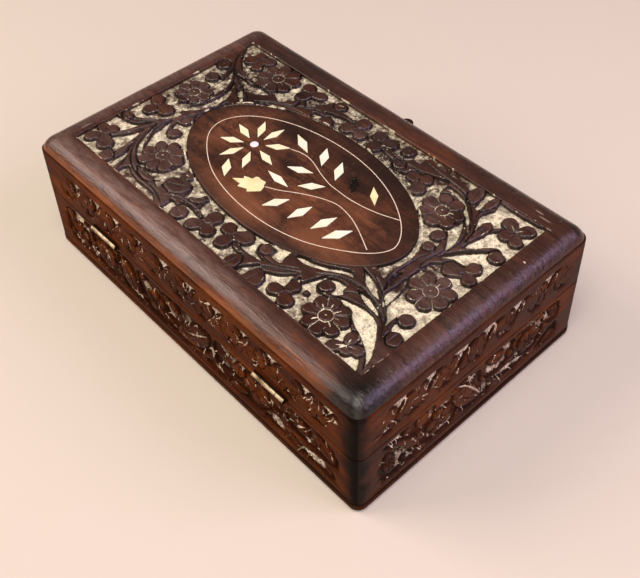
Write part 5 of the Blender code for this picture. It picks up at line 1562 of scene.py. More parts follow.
@dataclass
class LidBoard:
    """The lid's top board: flat border, round edge and the recess under the carved field."""

    rim: Rim = field(default_factory=Rim)
    profile_steps: int = 14
    soft_corner_share: float = 0.42
    least_corner: float = 1.3
    seed: int = 23

    def ring_at(self, inset: float, z: float) -> Array:
        """Return the ring that lies this far in from the outside."""
        radius = max(BOX.corner_radius + 1.2 - self.soft_corner_share * inset, self.least_corner)
        half_x, half_y = BOX.half_length - inset, BOX.half_depth - inset
        return self.rim.ring(-half_x, half_x, -half_y, half_y, radius, z)

    def edge_profile(self) -> list[Point]:
        """Return inset and height down the round edge, from the flat border outwards."""
        top, radius = BOX.wood_top, BOX.edge_round
        low = math.asin((BOX.board_underside + 0.25 - (top - radius)) / radius)
        angles = np.linspace(math.pi / 2, low, self.profile_steps)
        return [(radius * (1 - math.cos(a)), top - radius * (1 - math.sin(a))) for a in angles]

    def build(self, palette: Palette, area: CarvedField) -> Piece:
        """Make the board."""
        profile = self.edge_profile()
        foot_inset = profile[-1][0]
        recess = (area.left, area.right, area.front, area.back, 0.25)
        lip = 0.12
        eased = (area.left - lip, area.right + lip, area.front - lip, area.back + lip, 0.3)
        rings = [
            self.rim.ring(*recess, BOX.field_floor),
            self.rim.ring(*recess, BOX.wood_top - lip),
            self.rim.ring(*eased, BOX.wood_top),
        ]
        for share in (0.12, 0.35, 0.6, 0.82):
            outer = self.ring_at(BOX.edge_round, BOX.wood_top)
            rings.append(rings[2] * (1 - share) + outer * share)
        rings += [self.ring_at(inset, z) for inset, z in profile]
        rings.append(self.ring_at(foot_inset + 0.08, BOX.board_underside + 0.06))
        rings.append(self.ring_at(foot_inset + 0.3, BOX.board_underside))
        points = np.vstack(rings)
        count = len(rings[0])
        open_face = (points[:, 2] > BOX.board_underside + 0.5) & (np.arange(len(points)) >= 3 * count)
        dents = 0.05 * value_noise(points[:, 0], points[:, 1], 9.0, self.seed)
        dents += 0.03 * value_noise(points[:, 0], points[:, 1], 3.5, self.seed + 1)
        points[:, 2] += np.where(open_face, np.minimum(dents - 0.03, 0.0), 0.0)
        faces = body_faces(len(rings), count)
        return put_on(
            build_piece("lid_board", points, faces, palette.top_wood, self.paint(points)),
            "lid",
            ["lid_top_board"],
        )

    def paint(self, points: Array) -> Paint:
        """Return the board's tone with a painted warm reflection, its whitewash, its film of dust and
        painted sheen, and its grime and painted shade.
        """
        x, y, z = points.T
        near_back = smooth_step(50.0, 64.0, y)
        # A painted warm reflection: the lower part of the round edge on the back is made lighter and more
        # orange.
        warm_bounce_band = smooth_step(61.8, 59.4, z)
        ragged = 3.0 * value_noise(x, y, 6.0, self.seed + 6)
        corner = smooth_step(26.0, 8.0, np.hypot(x + 101.0, y - 64.0) + ragged)
        tone = 0.26 + 0.05 * near_back + 0.5 * warm_bounce_band * near_back * (1 - corner)
        tone += 0.10 * value_noise(x, y, 30.0, self.seed + 2)
        tone -= 0.16 * smooth_step(-70.0, -98.0, x) * (1 - warm_bounce_band)
        # Painted shade and grime: darker just above the underside at the joint and towards the four
        # corners; the near corner is darkened most, as grime.
        shade_and_grime = 0.2 * smooth_step(BOX.board_underside + 0.5, BOX.board_underside, z)
        shade_and_grime += 0.35 * smooth_step(70.0, 101.0, np.abs(x)) * smooth_step(40.0, 62.0, np.abs(y))
        shade_and_grime += 0.85 * corner
        # Where the film lies: the flat border and the top of the round edge, strongest along the back and
        # at the ends, none at the near corner; it is dust together with a painted sheen.
        flat = smooth_step(2.6, 0.5, BOX.wood_top - z)
        back = 0.85 * smooth_step(51.0, 56.0, y) * (1 - 0.75 * smooth_step(0.0, -62.0, x))
        left = 0.34 * smooth_step(-90.0, -95.0, x) * smooth_step(-56.0, 10.0, y)
        ends = np.maximum(0.62 * smooth_step(88.0, 94.0, x), left)
        film = flat * np.clip(np.maximum(back, ends), 0.10, 1.0) * (1 - corner)
        inner = (np.abs(x + 0.5) < 89.6) & (np.abs(y - 0.55) < 51.0)
        flecks = value_noise(x, y, 1.3, self.seed + 3) + 0.6 * value_noise(x, y, 5.1, self.seed + 4)
        flecks -= 0.6 * smooth_step(0.3, 1.2, BOX.wood_top - z)
        scratch = stroke_distance(x, y, np.array(BORDER_SCRATCH))
        specks = 0.8 * inner * smooth_step(0.25, 0.6, flecks)
        return {
            "wash": np.maximum(0.6 * smooth_step(-0.3, 0.2, scratch), specks),
            "film": film,
            "shade_and_grime": clamp(shade_and_grime),
            "tone": clamp(tone),
        }


@dataclass
class BottomBoard:
    """The board that the box stands on, rounded along its lower edge."""

    rim: Rim = field(default_factory=Rim)
    edge_round: float = 2.5
    profile_steps: int = 7

    def build(self, palette: Palette) -> Piece:
        """Make the board."""
        angles = np.linspace(0.0, math.pi / 2, self.profile_steps)
        profile = [
            (self.edge_round * (1 - math.sin(a)), self.edge_round * (1 - math.cos(a))) for a in angles
        ]
        profile += [(0.0, 4.0), (0.02, BOX.foot - 0.22), (0.16, BOX.foot - 0.05), (0.6, BOX.foot)]
        rings = []
        for inset, z in profile:
            half_x, half_y = BOX.half_length - inset, BOX.half_depth - inset
            radius = max(BOX.corner_radius - 0.6 * inset, 1.0)
            rings.append(self.rim.ring(-half_x, half_x, -half_y, half_y, radius, z))
        points = np.vstack(rings)
        faces = body_faces(len(rings), len(rings[0]))
        x, y, z = points.T
        # Darker all over, along the line at the top of the board and towards its bottom edge.
        line = hump(z, BOX.foot - 0.1, 0.2)
        worn = smooth_step(-0.1, 0.5, value_noise(x + 3 * y, y - x, 11.0, 5))
        paint = {
            "shade_and_grime": 0.45 + 0.1 * worn + 0.3 * line + 0.2 * smooth_step(1.5, 0.0, z),
            "tone": 0.40 + 0.2 * smooth_step(0.0, 60.0, y) - 0.1 * smooth_step(0.0, -80.0, x),
        }
        piece = build_piece("bottom_board", points, faces, palette.side_wood[Grain.ALONG], paint)
        return put_on(piece, "base", ["base_bottom_board"])


# Walls and rails


@dataclass(frozen=True)
class HingeSizes:
    """The two small butt hinges."""

    spacing: float = 109.0
    length: float = 17.8
    plate_width: float = 5.6
    plate: float = 0.9
    groove: float = 1.5
    groove_depth: float = 1.0
    slack: float = 1.2

    def spans(self) -> list[Point]:
        """Return where the hinges' pockets start and end along the box's x."""
        half, reach = self.spacing / 2, self.length / 2 + 0.3
        return [(-half - reach - self.slack, -half + reach), (half - reach, half + reach)]


HINGES = HingeSizes()


@dataclass(frozen=True)
class LidRow:
    """Where the small grounds of a lid rail lie along it."""

    upper: tuple[float, ...]
    lower: tuple[float, ...]


@dataclass(frozen=True)
class BaseRow:
    """The carving of a base wall, in places along it and heights above the table."""

    pockets: tuple[Outline, ...]
    stems: tuple[Path, ...]
    flowers: Path
    leaves: tuple[tuple[Outline, Path], ...]
    buds: Path
    strokes: tuple[tuple[Path, float], ...]
    bright: Path


LONG_LID_ROW = LidRow(
    (74.4, 58.6, 44.5, 28, 10.8, -6.4, -22.8, -39.2, -55.6, -74.2, -86.0),
    (82.5, 66.5, 51.5, 35.8, 18.6, 1.5, -14, -31.4, -47, -64.5, -80.5),
)
SHORT_LID_ROW = LidRow((42.9, 26.9, 10, -5, -21.4, -40.7), (50, 36.4, 20, 2.2, -14.3, -32.8, -49))
UPPER_GROUND: Outline = (
    (-4.6, 0.0), (4.4, -0.2), (2.2, -1.5), (0.9, -3.0), (1.6, -5.2), (2.6, -6.8), (0.2, -5.0),
    (-1.0, -2.7), (-2.9, -1.5),
)
LOWER_GROUND: Outline = ((-2.6, 0.0), (2.3, 0.1), (0.9, 1.4), (0.3, 3.6), (-0.9, 1.7))

LONG_BASE_ROW = BaseRow(
    pockets=(
        ((-89, 10), (-88, 13.5), (-84, 15.6), (-77, 14.6), (-69, 12.6), (-65, 10.2), (-72, 9.2),
         (-84, 9.2)),
        ((-90, 19), (-89, 27), (-84, 30.8), (-72, 31.2), (-64, 29.5), (-62, 24), (-65, 19.5), (-76, 18)),
        ((-61.5, 10), (-60.5, 14.5), (-57, 17.6), (-52.5, 14.5), (-49, 10.4)),
        ((-60, 30.6), (-44, 31.2), (-22, 31), (-18.5, 26), (-19, 19), (-22, 14.5), (-32, 11.5), (-44, 10),
         (-48, 12), (-54, 18.5), (-60, 21.5)),
        ((-24, 12.5), (-19, 14.6), (-12, 12), (-14, 9.6), (-25, 9.6)),
        ((-17, 30.8), (-2, 31.2), (14, 30.8), (15, 25), (12, 18), (15, 13), (11, 9.8), (-8, 9.8), (-10, 14),
         (-16, 19)),
        ((17, 30.5), (31, 31), (34, 26), (32, 14), (26, 9.8), (15, 9.8), (13, 15), (14, 24)),
        ((36, 31), (47, 31), (49, 25), (47, 14), (44, 9.8), (33, 9.6), (34, 18), (35, 25)),
        ((52, 30.8), (66, 31), (69, 25), (67, 14), (64, 9.8), (51, 9.8), (49, 14), (50, 25)),
        ((71, 31), (84, 31), (89, 27), (89.5, 14), (86, 9.8), (68, 9.8), (70, 16), (71, 24)),
    ),
    stems=(
        ((-90, 16.8, 1.8), (-78, 16.4, 2.0), (-66, 16.6, 2.0), (-57, 19.6, 2.0), (-50, 21, 1.8)),
        ((-37, 18, 1.8), (-28, 16.2, 1.8), (-20, 16.6, 1.6), (-10, 12.5, 2.0), (2, 12, 2.0)),
        ((6, 13, 1.8), (12, 16.5, 1.6), (17, 18, 1.5)),
        ((26, 17, 1.6), (31, 15.2, 1.8), (36, 14, 1.8)),
        ((45, 22, 1.6), (49, 19.6, 1.8), (53, 19.6, 1.6)),
        ((64, 20, 1.6), (69, 20.4, 1.8), (75, 19, 1.6)),
    ),
    flowers=((-45, 21.5, 8.6, 5), (21.5, 18.8, 7.2, 5), (58.5, 20, 8.4, 6), (79, 18.6, 6.8, 5)),
    leaves=(
        (((-89, 20), (-88, 26), (-80, 30), (-78.5, 25), (-82, 20.5)), ((-87, 21.5, 0.5), (-81, 28, 1.0))),
        (((7, 12), (-4, 12.5), (-12.5, 18.5), (-16.5, 28.5), (-8, 28.4), (2, 21.5), (6, 16)),
         ((3, 15.5, 0.5), (-5, 20.5, 1.5), (-14, 27, 0.7))),
        (((34, 13), (36, 22), (43.5, 29.5), (47, 24), (46, 16), (41, 12.4)),
         ((37, 15, 0.6), (43.5, 26.5, 1.1))),
        (((-36, 30.4), (-31, 24.5), (-33, 20), (-38, 24)), ((-35.5, 28, 0.5), (-34, 22, 0.9))),
        (((-71, 10), (-66, 14.8), (-61, 10.6), (-66, 9.2)), ((-69, 10.6, 0.5), (-64, 12, 0.9))),
        (((-27, 9.6), (-34, 10), (-38.5, 13.4), (-30, 14)), ((-29, 11, 0.5), (-36, 12.8, 0.9))),
    ),
    buds=(
        (-71, 24.6, 4.2), (-66.5, 28.6, 1.9), (8, 26, 3.3), (12.5, 28.8, 1.6), (29.5, 28.4, 2.2),
        (18, 28.6, 1.9), (49.8, 28.8, 2.0), (68.6, 28.8, 2.1), (85.6, 27.4, 2.6), (73, 28.2, 1.9),
        (-57, 27.4, 2.6), (87, 15, 2.0), (48.5, 11.6, 1.9), (-86, 12.4, 1.9),
    ),
    strokes=(
        (((3, 15.6, 0.5), (-6, 21, 1.6), (-15, 27.4, 0.8)), 0.8),
        (((42.5, 14.4, 0.5), (38, 12.2, 1.3), (32.5, 10.8, 0.5)), 1.0),
        (((-84, 13.2, 0.5), (-76, 12.4, 1.6), (-68, 10.2, 0.6)), 0.9),
        (((-73.5, 27, 0.6), (-70, 24.5, 1.8), (-68, 22, 0.6)), 0.9),
        (((-90, 8.6, 0.3), (-30, 8.5, 0.4), (30, 8.6, 0.4), (90, 8.5, 0.3)), 0.0),
    ),
    bright=(
        (-76, 12.3, 6.5, 0.75), (-71, 24.5, 4.4, 0.35), (-55.5, 12.8, 5.5, 0.45), (-27, 26.5, 4.0, 0.18),
        (-26, 20, 4.5, 0.12), (-20.5, 13, 3.5, 0.5), (-2, 23.5, 4.0, 0.35), (12, 22, 3.0, 0.6),
        (28.4, 23, 3.4, 0.65), (37, 11.4, 4.0, 0.5), (70.5, 12, 3.2, 0.6), (84.5, 12, 3.6, 0.65),
        (75.5, 24, 3.2, 0.45), (79.5, 28, 4.0, 0.6), (-86, 28, 3.0, 0.35), (50, 16, 3.0, 0.4),
    ),
)
SHORT_BASE_ROW = BaseRow(
    pockets=(
        ((51.5, 10), (51.5, 25), (46, 25.8), (41, 21), (36, 14.5), (31, 10), (40, 9.4)),
        ((50, 28.5), (50, 31), (34, 31.2), (24, 30.8), (24, 26), (30, 21.5), (37, 22.5), (43, 27.4)),
        ((31, 18), (28, 24), (20, 27), (12, 26), (10, 20), (11, 12), (16, 9.6), (26, 9.6), (31, 13)),
        ((13, 30.6), (4, 31), (-2, 28), (-3, 22), (-9, 14), (-8, 9.8), (2, 9.6), (9, 12), (8, 20),
         (11, 26)),
        ((-4, 30.8), (-14, 31), (-22, 30.6), (-21, 24), (-18, 19.5), (-10, 18), (-5, 20.5)),
        ((-9, 17.6), (-20, 15.8), (-31, 12.4), (-32, 10.2), (-20, 10.8), (-11, 14)),
        ((-24, 28), (-23, 18), (-27, 14), (-37, 13.6), (-41, 19), (-40, 28), (-34, 31), (-27, 31)),
        ((-42, 31), (-50, 30.5), (-51, 22), (-46, 20.5), (-41.5, 24)),
        ((-38, 12), (-44, 16), (-50, 18), (-51.5, 11), (-46, 9.6), (-38, 9.8)),
    ),
    stems=(
        ((51, 27, 1.6), (44, 26, 1.6), (36, 19.5, 1.8), (30, 17, 1.8), (25, 17, 1.6)),
        ((8, 29.5, 1.6), (-3, 29.8, 1.8), (-4, 20, 1.8), (-12, 16.8, 1.6), (-24, 17, 1.6)),
        ((-38, 20, 1.6), (-43, 19, 1.8), (-51, 20, 1.6)),
    ),
    flowers=((20.5, 18.2, 7.4, 5), (-32, 21, 7.4, 6)),
    leaves=(
        (((12, 28.6), (12.6, 20), (7, 13), (-4, 11), (-1.5, 18), (4.5, 25.4)),
         ((9.6, 25.5, 0.5), (6.6, 18.6, 1.1), (-0.5, 13, 0.5))),
        (((48, 11), (50.6, 17), (48.6, 24.4), (44.6, 19), (44, 13)), ((48, 13, 0.5), (48.2, 21.4, 1.0))),
        (((-6, 29.6), (-13, 29.8), (-17.6, 25.6), (-11, 22.6)), ((-8, 28, 0.5), (-15, 25.4, 1.0))),
        (((-41, 10), (-46, 14.8), (-50.6, 12.4), (-47, 9.8)), ((-43, 11, 0.5), (-49, 12.4, 0.9))),
        (((-44, 29.8), (-46.6, 23), (-50, 23.4), (-49, 29)), ((-46, 28.4, 0.5), (-48.2, 24, 0.9))),
    ),
    buds=(
        (30, 27.4, 3.5), (39, 28.6, 2.0), (34.6, 13.0, 1.7), (13.2, 28.2, 1.5), (-20.4, 22.4, 1.9),
        (-24.6, 29, 1.8), (-39, 29.4, 1.8), (-3.4, 13.4, 1.6), (40, 12, 1.9),
    ),
    strokes=(
        (((12, 29.2, 0.4), (6, 25.6, 1.0), (0, 18, 1.3), (-4.6, 10.8, 0.5)), 1.0),
        (((19.4, 26, 0.4), (18, 24, 0.9)), 0.9), (((18, 13, 0.4), (16.4, 11, 0.9)), 0.9),
        (((51, 10.2, 0.4), (41, 9.8, 0.9), (31.6, 10.2, 0.4)), 0.9),
        (((-38, 14.2, 0.4), (-43, 15.6, 0.9), (-48, 17.2, 0.4)), 0.9),
        (((-26, 27, 0.4), (-31, 28.6, 0.9), (-36, 27, 0.4)), 0.7),
        (((-52, 8.6, 0.3), (0, 8.5, 0.4), (52, 8.6, 0.3)), 0.0),
    ),
    bright=(
        (44, 29.4, 4.2, 0.65), (44, 18, 5.5, 0.30), (41, 11, 6.0, 0.35), (-12, 21, 5.5, 0.55),
        (-18, 27.5, 3.5, 0.35), (-20, 13.6, 6.0, 0.55), (-28, 12, 4.0, 0.4), (-44.6, 27, 4.2, 0.65),
        (2, 26.5, 3.0, 0.4), (-6, 12, 3.0, 0.4), (17, 25.4, 3.2, 0.5), (16, 11.6, 3.2, 0.5),
        (-40, 24, 2.6, 0.4), (25, 25.6, 2.6, 0.3),
    ),
)


@dataclass
class BandCarving:
    """The row of leaves and flowers along one wall or rail."""

    side: Side
    storey: Storey
    pitch: float = 0.42
    margin: float = 12.6
    seed: int = 3

    @property
    def span(self) -> Point:
        """The lowest and highest line of the carving."""
        return (38.9, 53.0) if self.storey is Storey.LID else (9.0, 31.2)

    @property
    def extra_wash(self) -> float:
        """How much more whitewash is left in the lid's row on the short sides."""
        return 0.1 if self.side.grain is Grain.ALONG else 0.45

    @property
    def way(self) -> float:
        """Sign between places on this side and the box's own x or y."""
        return -1.0 if self.side in (Side.BACK, Side.LEFT) else 1.0

    def carve(self, runs: Array, heights: Array) -> Relief:
        """Carve the band.

        Args:
            runs: the places of the columns, to the right of the middle seen from outside.
            heights: the heights of the rows.

        Returns:
            The carving.
        """
        seed = self.seed + 10 * list(Side).index(self.side)
        relief = Relief(runs, heights, 1.15 if self.storey is Storey.LID else 1.35, seed)
        relief.strength[:] = 0.36 if self.storey is Storey.LID else 0.26
        if self.storey is Storey.LID:
            self.carve_lobes(relief)
        else:
            self.carve_vine(relief)
        relief.settle()
        return relief

    def carve_lobes(self, relief: Relief) -> None:
        """Carve the lid's row: pointed grounds above and below a row of veined lobes."""
        low, high = self.span
        plan = LONG_LID_ROW if self.side.grain is Grain.ALONG else SHORT_LID_ROW
        random = relief.random
        way = self.way
        for place in plan.upper:
            x = way * place
            top = high - random.uniform(0.0, 0.9)
            size = random.uniform(0.85, 1.12) * (1.1 + 0.5 * self.extra_wash)
            relief.sink(self.jitter(random, UPPER_GROUND, x, top, size))
            relief.brighten(x - 0.6, top - 1.6, 3.2, random.uniform(0.25, 0.75) + self.extra_wash)
            relief.brighten(x + 1.2, top - 4.5, 2.0, random.uniform(-0.1, 0.5))
            for side, lean in ((-1.0, 1.5), (1.0, -1.0), (1.0, -3.2)):
                start = x + side * random.uniform(2.6, 4.4)
                drop = random.uniform(3.4, 5.6)
                fill = random.uniform(0.1, 1.5)
                path = [(start, top - 2.2, 0.4), (start + 0.3 * lean, top - 2.2 - drop / 2, 0.8)]
                relief.cut([*path, (start + lean, top - 2.2 - drop, 0.4)], 0.45, fill)
        for place in plan.lower:
            x = way * place
            size = random.uniform(0.85, 1.2)
            relief.sink(self.jitter(random, LOWER_GROUND, x, low, size))
            relief.brighten(x, low + 1.2, 2.4, random.uniform(-0.05, 0.6))
            for side in (-1.0, 1.0):
                end = (x + side * 5.6, low + random.uniform(5.2, 7.4), 0.4)
                path = [(x + side * 2.4, low + 1.0, 0.4), (x + side * 4.6, low + 3.0, 0.8), end]
                relief.cut(path, 0.5, random.uniform(-0.7, 0.8))
        self.chip(relief, 2.2)

    def jitter(
        self, random: np.random.Generator, outline: Outline, x: float, z: float, size: float
    ) -> list[Point]:
        """Return a copy of a small ground's outline, moved and cut a little unevenly."""
        rows = []
        for run, rise in outline:
            shift = random.uniform(-0.35, 0.35, 2)
            rows.append((x + self.way * run * size + shift[0], z + rise * size + 0.6 * shift[1]))
        return rows

    def placed(self, rows: Path) -> list[tuple[float, ...]]:
        """Return rows of x or y and height with their first value as a place on this side."""
        return [(self.way * row[0], *row[1:]) for row in rows]

    def carve_vine(self, relief: Relief) -> None:
        """Carve the base's row: flowers, leaves and stems in irregular grounds."""
        plan = LONG_BASE_ROW if self.side.grain is Grain.ALONG else SHORT_BASE_ROW
        random = relief.random
        for outline in plan.pockets:
            relief.sink(self.placed(outline))
        for path in plan.stems:
            relief.leave(self.placed(path))
        for x, z, radius, petals in self.placed(plan.flowers):
            turn = random.uniform(0.0, 1.2)
            angles = [turn + 2 * math.pi * index / petals for index in range(petals)]
            relief.flower([
                (x + 0.60 * radius * math.cos(angle), z + 0.60 * radius * math.sin(angle), 0.37 * radius)
                for angle in angles
            ], 0.4)
            relief.bud(x, z, 0.2 * radius, 0.05, False)
        for outline, vein in plan.leaves:
            relief.leaf(self.placed(outline), self.placed(vein))
        for x, z, radius in self.placed(plan.buds):
            relief.bud(x, z, radius, vein=False)
        for path, fill in plan.strokes:
            relief.cut(self.placed(path), 0.5, fill)
        for x, z, radius, amount in self.placed(plan.bright):
            relief.brighten(x, z, radius, amount)
        self.chip(relief, 3.6, self.placed(plan.bright))

    def chip(self, relief: Relief, crowding: float, crowded: Path = ()) -> None:
        """Scatter short knife cuts over the row, some still full of whitewash.

        Args:
            relief: the carving.
            crowding: how many cuts there are for each mm of half the row.
            crowded: places where further cuts lie side by side, as place, height and radius.
        """
        random = relief.random
        low, high = self.span
        edge = self.side.half_run - self.margin
        for _ in range(int(edge * crowding)):
            x, z = random.uniform(-edge, edge), random.uniform(low + 1.0, high - 2.0)
            slope = random.normal(1.1, 0.5) * random.choice((-1.0, 1.0))
            reach = random.uniform(0.8, 2.5)
            dx, dz = reach * math.cos(slope), reach * math.sin(slope)
            middle = (x + random.uniform(-0.3, 0.3), z, random.uniform(0.45, 0.85))
            path = [(x - dx, z - dz, 0.3), middle, (x + dx, z + dz, 0.3)]
            relief.cut(path, random.uniform(0.25, 0.5), random.uniform(-1.0, 1.6))
        for x, z, radius, *_ in crowded:
            slope = random.uniform(0.7, 1.4) * random.choice((-1.0, 1.0))
            for step in np.arange(-radius, radius, 1.15):
                start = (x + step, z + random.uniform(-0.5, 0.5) * radius)
                reach = random.uniform(0.35, 0.8) * radius
                dx, dz = reach * math.cos(slope), reach * math.sin(slope)
                first, last = (start[0] - dx, start[1] - dz, 0.3), (start[0] + dx, start[1] + dz, 0.3)
                depth, fill = random.uniform(0.35, 0.6), random.uniform(-1.6, 1.0)
                relief.cut([first, (*start, 0.8), last], depth, fill)


@dataclass
class Wall:
    """One wall of the base or rail of the lid, carved on its outer face."""

    side: Side
    storey: Storey
    corner_steps: int = 6
    coarse: float = 2.4

    @property
    def half_out(self) -> float:
        """Distance of this side's face from the middle of the box."""
        return BOX.half_depth if self.side.grain is Grain.ALONG else BOX.half_length

    def columns(self, carving: BandCarving) -> Array:
        """Return the places of the columns along the straight part."""
        end = self.side.half_run - BOX.corner_radius
        edge = self.side.half_run - carving.margin + 0.6
        dense = np.linspace(-edge, edge, int(2 * edge / carving.pitch) + 1)
        side = np.linspace(-end, -edge, max(3, int((end - edge) / self.coarse) + 1))[:-1]
        places = np.concatenate([side, dense, -side[::-1]])
        if self.side is Side.BACK:
            ends = [-x for span in HINGES.spans() for x in span]
            extra = [x + shift for x in ends for shift in (-0.01, 0.01)]
            places = np.sort(np.concatenate([places, extra]))
        return places

    def drops(self, carving: BandCarving) -> Array:
        """Return the distances of the rows from the seam."""
        low, high = carving.span
        gap = BOX.seam_gap / 2
        if self.storey is Storey.BASE:
            height = BOX.seam - gap - BOX.wall_foot
            near, far = BOX.seam - gap - high - 0.8, BOX.seam - gap - low + 0.8
        else:
            height = BOX.rail_top - BOX.seam - gap
            near, far = low - BOX.seam - gap - 0.8, high - BOX.seam - gap + 0.8
        start = [0.0, 0.10, 0.35, 0.8, HINGES.plate, HINGES.groove]
        dense = np.linspace(near, far, int((far - near) / carving.pitch) + 1)
        end = [height - 0.35, height - 0.10, height]
        between = np.linspace(far, height - 0.35, 5)[1:-1]
        return np.unique(np.round(np.concatenate([start, dense, between, end]), 4))

    def build(self, palette: Palette) -> Piece:
        """Make the wall."""
        base = self.storey is Storey.BASE
        carving = BandCarving(self.side, self.storey)
        columns, drops = self.columns(carving), self.drops(carving)
        turn = np.radians(np.linspace(45.0, 0.0, self.corner_steps, endpoint=False))
        end_run = self.side.half_run - BOX.corner_radius + BOX.corner_radius * np.sin(turn)
        runs = np.concatenate([-end_run, columns, end_run[::-1]])
        lean = np.concatenate([-np.sin(turn), np.zeros(len(columns)), np.sin(turn)[::-1]])
        face = np.concatenate([np.cos(turn), np.ones(len(columns)), np.cos(turn)[::-1]])
        outs = self.half_out - BOX.corner_radius + BOX.corner_radius * face
        sign = -1.0 if base else 1.0
        seam = BOX.seam + sign * BOX.seam_gap / 2
        heights = seam + sign * drops
        order = np.argsort(heights)
        relief = carving.carve(runs, heights[order])
        back_again = np.argsort(order)
        inset = -relief.depth[back_again] + self.edge_inset(heights, drops)[:, None]
        drop_grid = np.repeat(drops[:, None], len(runs), 1)
        pocket = np.zeros(len(runs), bool)
        if self.side is Side.BACK:
            for low, high in HINGES.spans():
                pocket |= (runs > -high) & (runs < -low)
            groove = pocket[None, :] & (drop_grid < HINGES.groove)
            inset = inset + np.where(groove, HINGES.groove_depth, 0.0)
            drop_grid = np.where(pocket[None, :], np.maximum(drop_grid, HINGES.plate), drop_grid)
        rows = [self.side.place(runs - lean * inset, outs - face * inset, seam + sign * drop_grid)]
        inner_run = runs / self.side.half_run * (self.side.half_run - BOX.wall)
        inner_out = np.full(len(runs), self.half_out - BOX.wall)
        near = np.full(len(runs), seam)
        step_run, step_out = runs - lean * HINGES.plate_width, outs - face * HINGES.plate_width
        step_height = np.where(pocket, seam + sign * HINGES.plate, seam)
        for run, out, height in (
            (inner_run, inner_out, near + sign * drops[-1]),
            (inner_run, inner_out, near),
            (step_run, step_out, near),
            (step_run, step_out, step_height),
        ):
            rows.append(self.side.place(run, out, height)[None])
        rings = np.concatenate(rows).transpose(1, 0, 2)
        faces = body_faces(len(runs), rings.shape[1], ends=1)
        plain = np.zeros((len(rows) - 1, len(runs)))
        # Painted shade: darker over the last 2.2 mm beside the board it meets and on the inner faces; the
        # upright corners take grime.
        rail_line = smooth_step(2.2, 0.0, drops[-1] - drops)[:, None] * np.ones(len(runs))
        shade_and_grime = clamp(relief.shade_and_grime[back_again] + 0.25 * rail_line + self.corner_grime(runs, heights))
        paint = {
            "wash": np.vstack([relief.wash[back_again], plain]).T,
            "shade_and_grime": np.vstack([shade_and_grime, plain + 0.3]).T,
            "tone": np.vstack([self.tone(runs, heights), plain + 0.3]).T,
        }
        name = f"{self.storey.value}_{self.side.label}_{'wall' if base else 'rail'}"
        wood = palette.side_wood[self.side.grain]
        piece = build_piece("carved_" + name, rings.reshape(-1, 3), faces, wood, paint)
        return put_on(piece, self.storey.value, [name])

    def edge_inset(self, heights: Array, drops: Array) -> Array:
        """Return how far each row lies behind the box's outline."""
        near, far = (clamp(1 - gap / 0.35) for gap in (drops, drops[-1] - drops))
        ease = 0.25 * near**2 + 0.25 * far**2
        over = np.clip(heights - (BOX.wood_top - BOX.edge_round), 0.0, BOX.edge_round)
        rounding = BOX.edge_round - np.sqrt(BOX.edge_round**2 - over**2)
        return ease + np.maximum(rounding, BOX.wall_set_back)

    def corner_grime(self, runs: Array, heights: Array) -> Array:
        """Return how dark the upright corners are; the one between back and left is the worst."""
        run, height = np.meshgrid(runs, heights)
        ragged = 3.0 * value_noise(run, height, 7.0, 41) + 1.2 * value_noise(run, height, 2.0, 42)
        worst, width = {Side.BACK: (1.0, 9.5), Side.LEFT: (-1.0, 6.0)}.get(self.side, (0.0, 1.0))
        end = self.side.half_run
        near = smooth_step(end - width, end - width * 0.4, run * worst + 0.7 * ragged)
        others = smooth_step(end - 6.0, end, np.abs(run) + 0.5 * ragged)
        return np.maximum(near, 0.35 * others)

    def tone(self, runs: Array, heights: Array) -> Array:
        """Return how light and orange the wood is over the face."""
        run, height = np.meshgrid(runs, heights)
        tone = np.full(run.shape, 0.42 if self.side is Side.BACK else 0.36)
        tone += 0.10 * value_noise(run, height * 3, 26.0, 31)
        tone -= 0.22 * smooth_step(self.side.half_run - 12, self.side.half_run, np.abs(run))
        return clamp(tone)


# Medallion and inlay


def lozenge(tip_a: Point, tip_b: Point, width: float) -> list[Point]:
    """Return a lozenge between two tips."""
    start, end = np.asarray(tip_a, float), np.asarray(tip_b, float)
    along = end - start
    across = np.array([-along[1], along[0]]) / np.hypot(*along) * width / 2
    middle = (start + end) / 2
    return [tuple(start), tuple(middle - across), tuple(end), tuple(middle + across)]


def widen(outline: Outline, amount: float) -> Array:
    """Return an outline moved outwards, for the pocket that a piece is let into."""
    points = np.asarray(outline, float)
    before, after = np.roll(points, 1, 0), np.roll(points, -1, 0)
    edge_in, edge_out = points - before, after - points
    turn = np.sum(before[:, 0] * points[:, 1] - before[:, 1] * points[:, 0])
    sign = 1.0 if turn > 0 else -1.0
    normal_in = np.stack([edge_in[:, 1], -edge_in[:, 0]], -1) / np.linalg.norm(edge_in, axis=1)[:, None]
    normal_out = np.stack([edge_out[:, 1], -edge_out[:, 0]], -1) / np.linalg.norm(edge_out, axis=1)[:, None]
    mitre = normal_in + normal_out
    scale = 2.0 / np.maximum(np.sum(mitre**2, axis=1), 0.35)
    return points + sign * amount * mitre * scale[:, None]


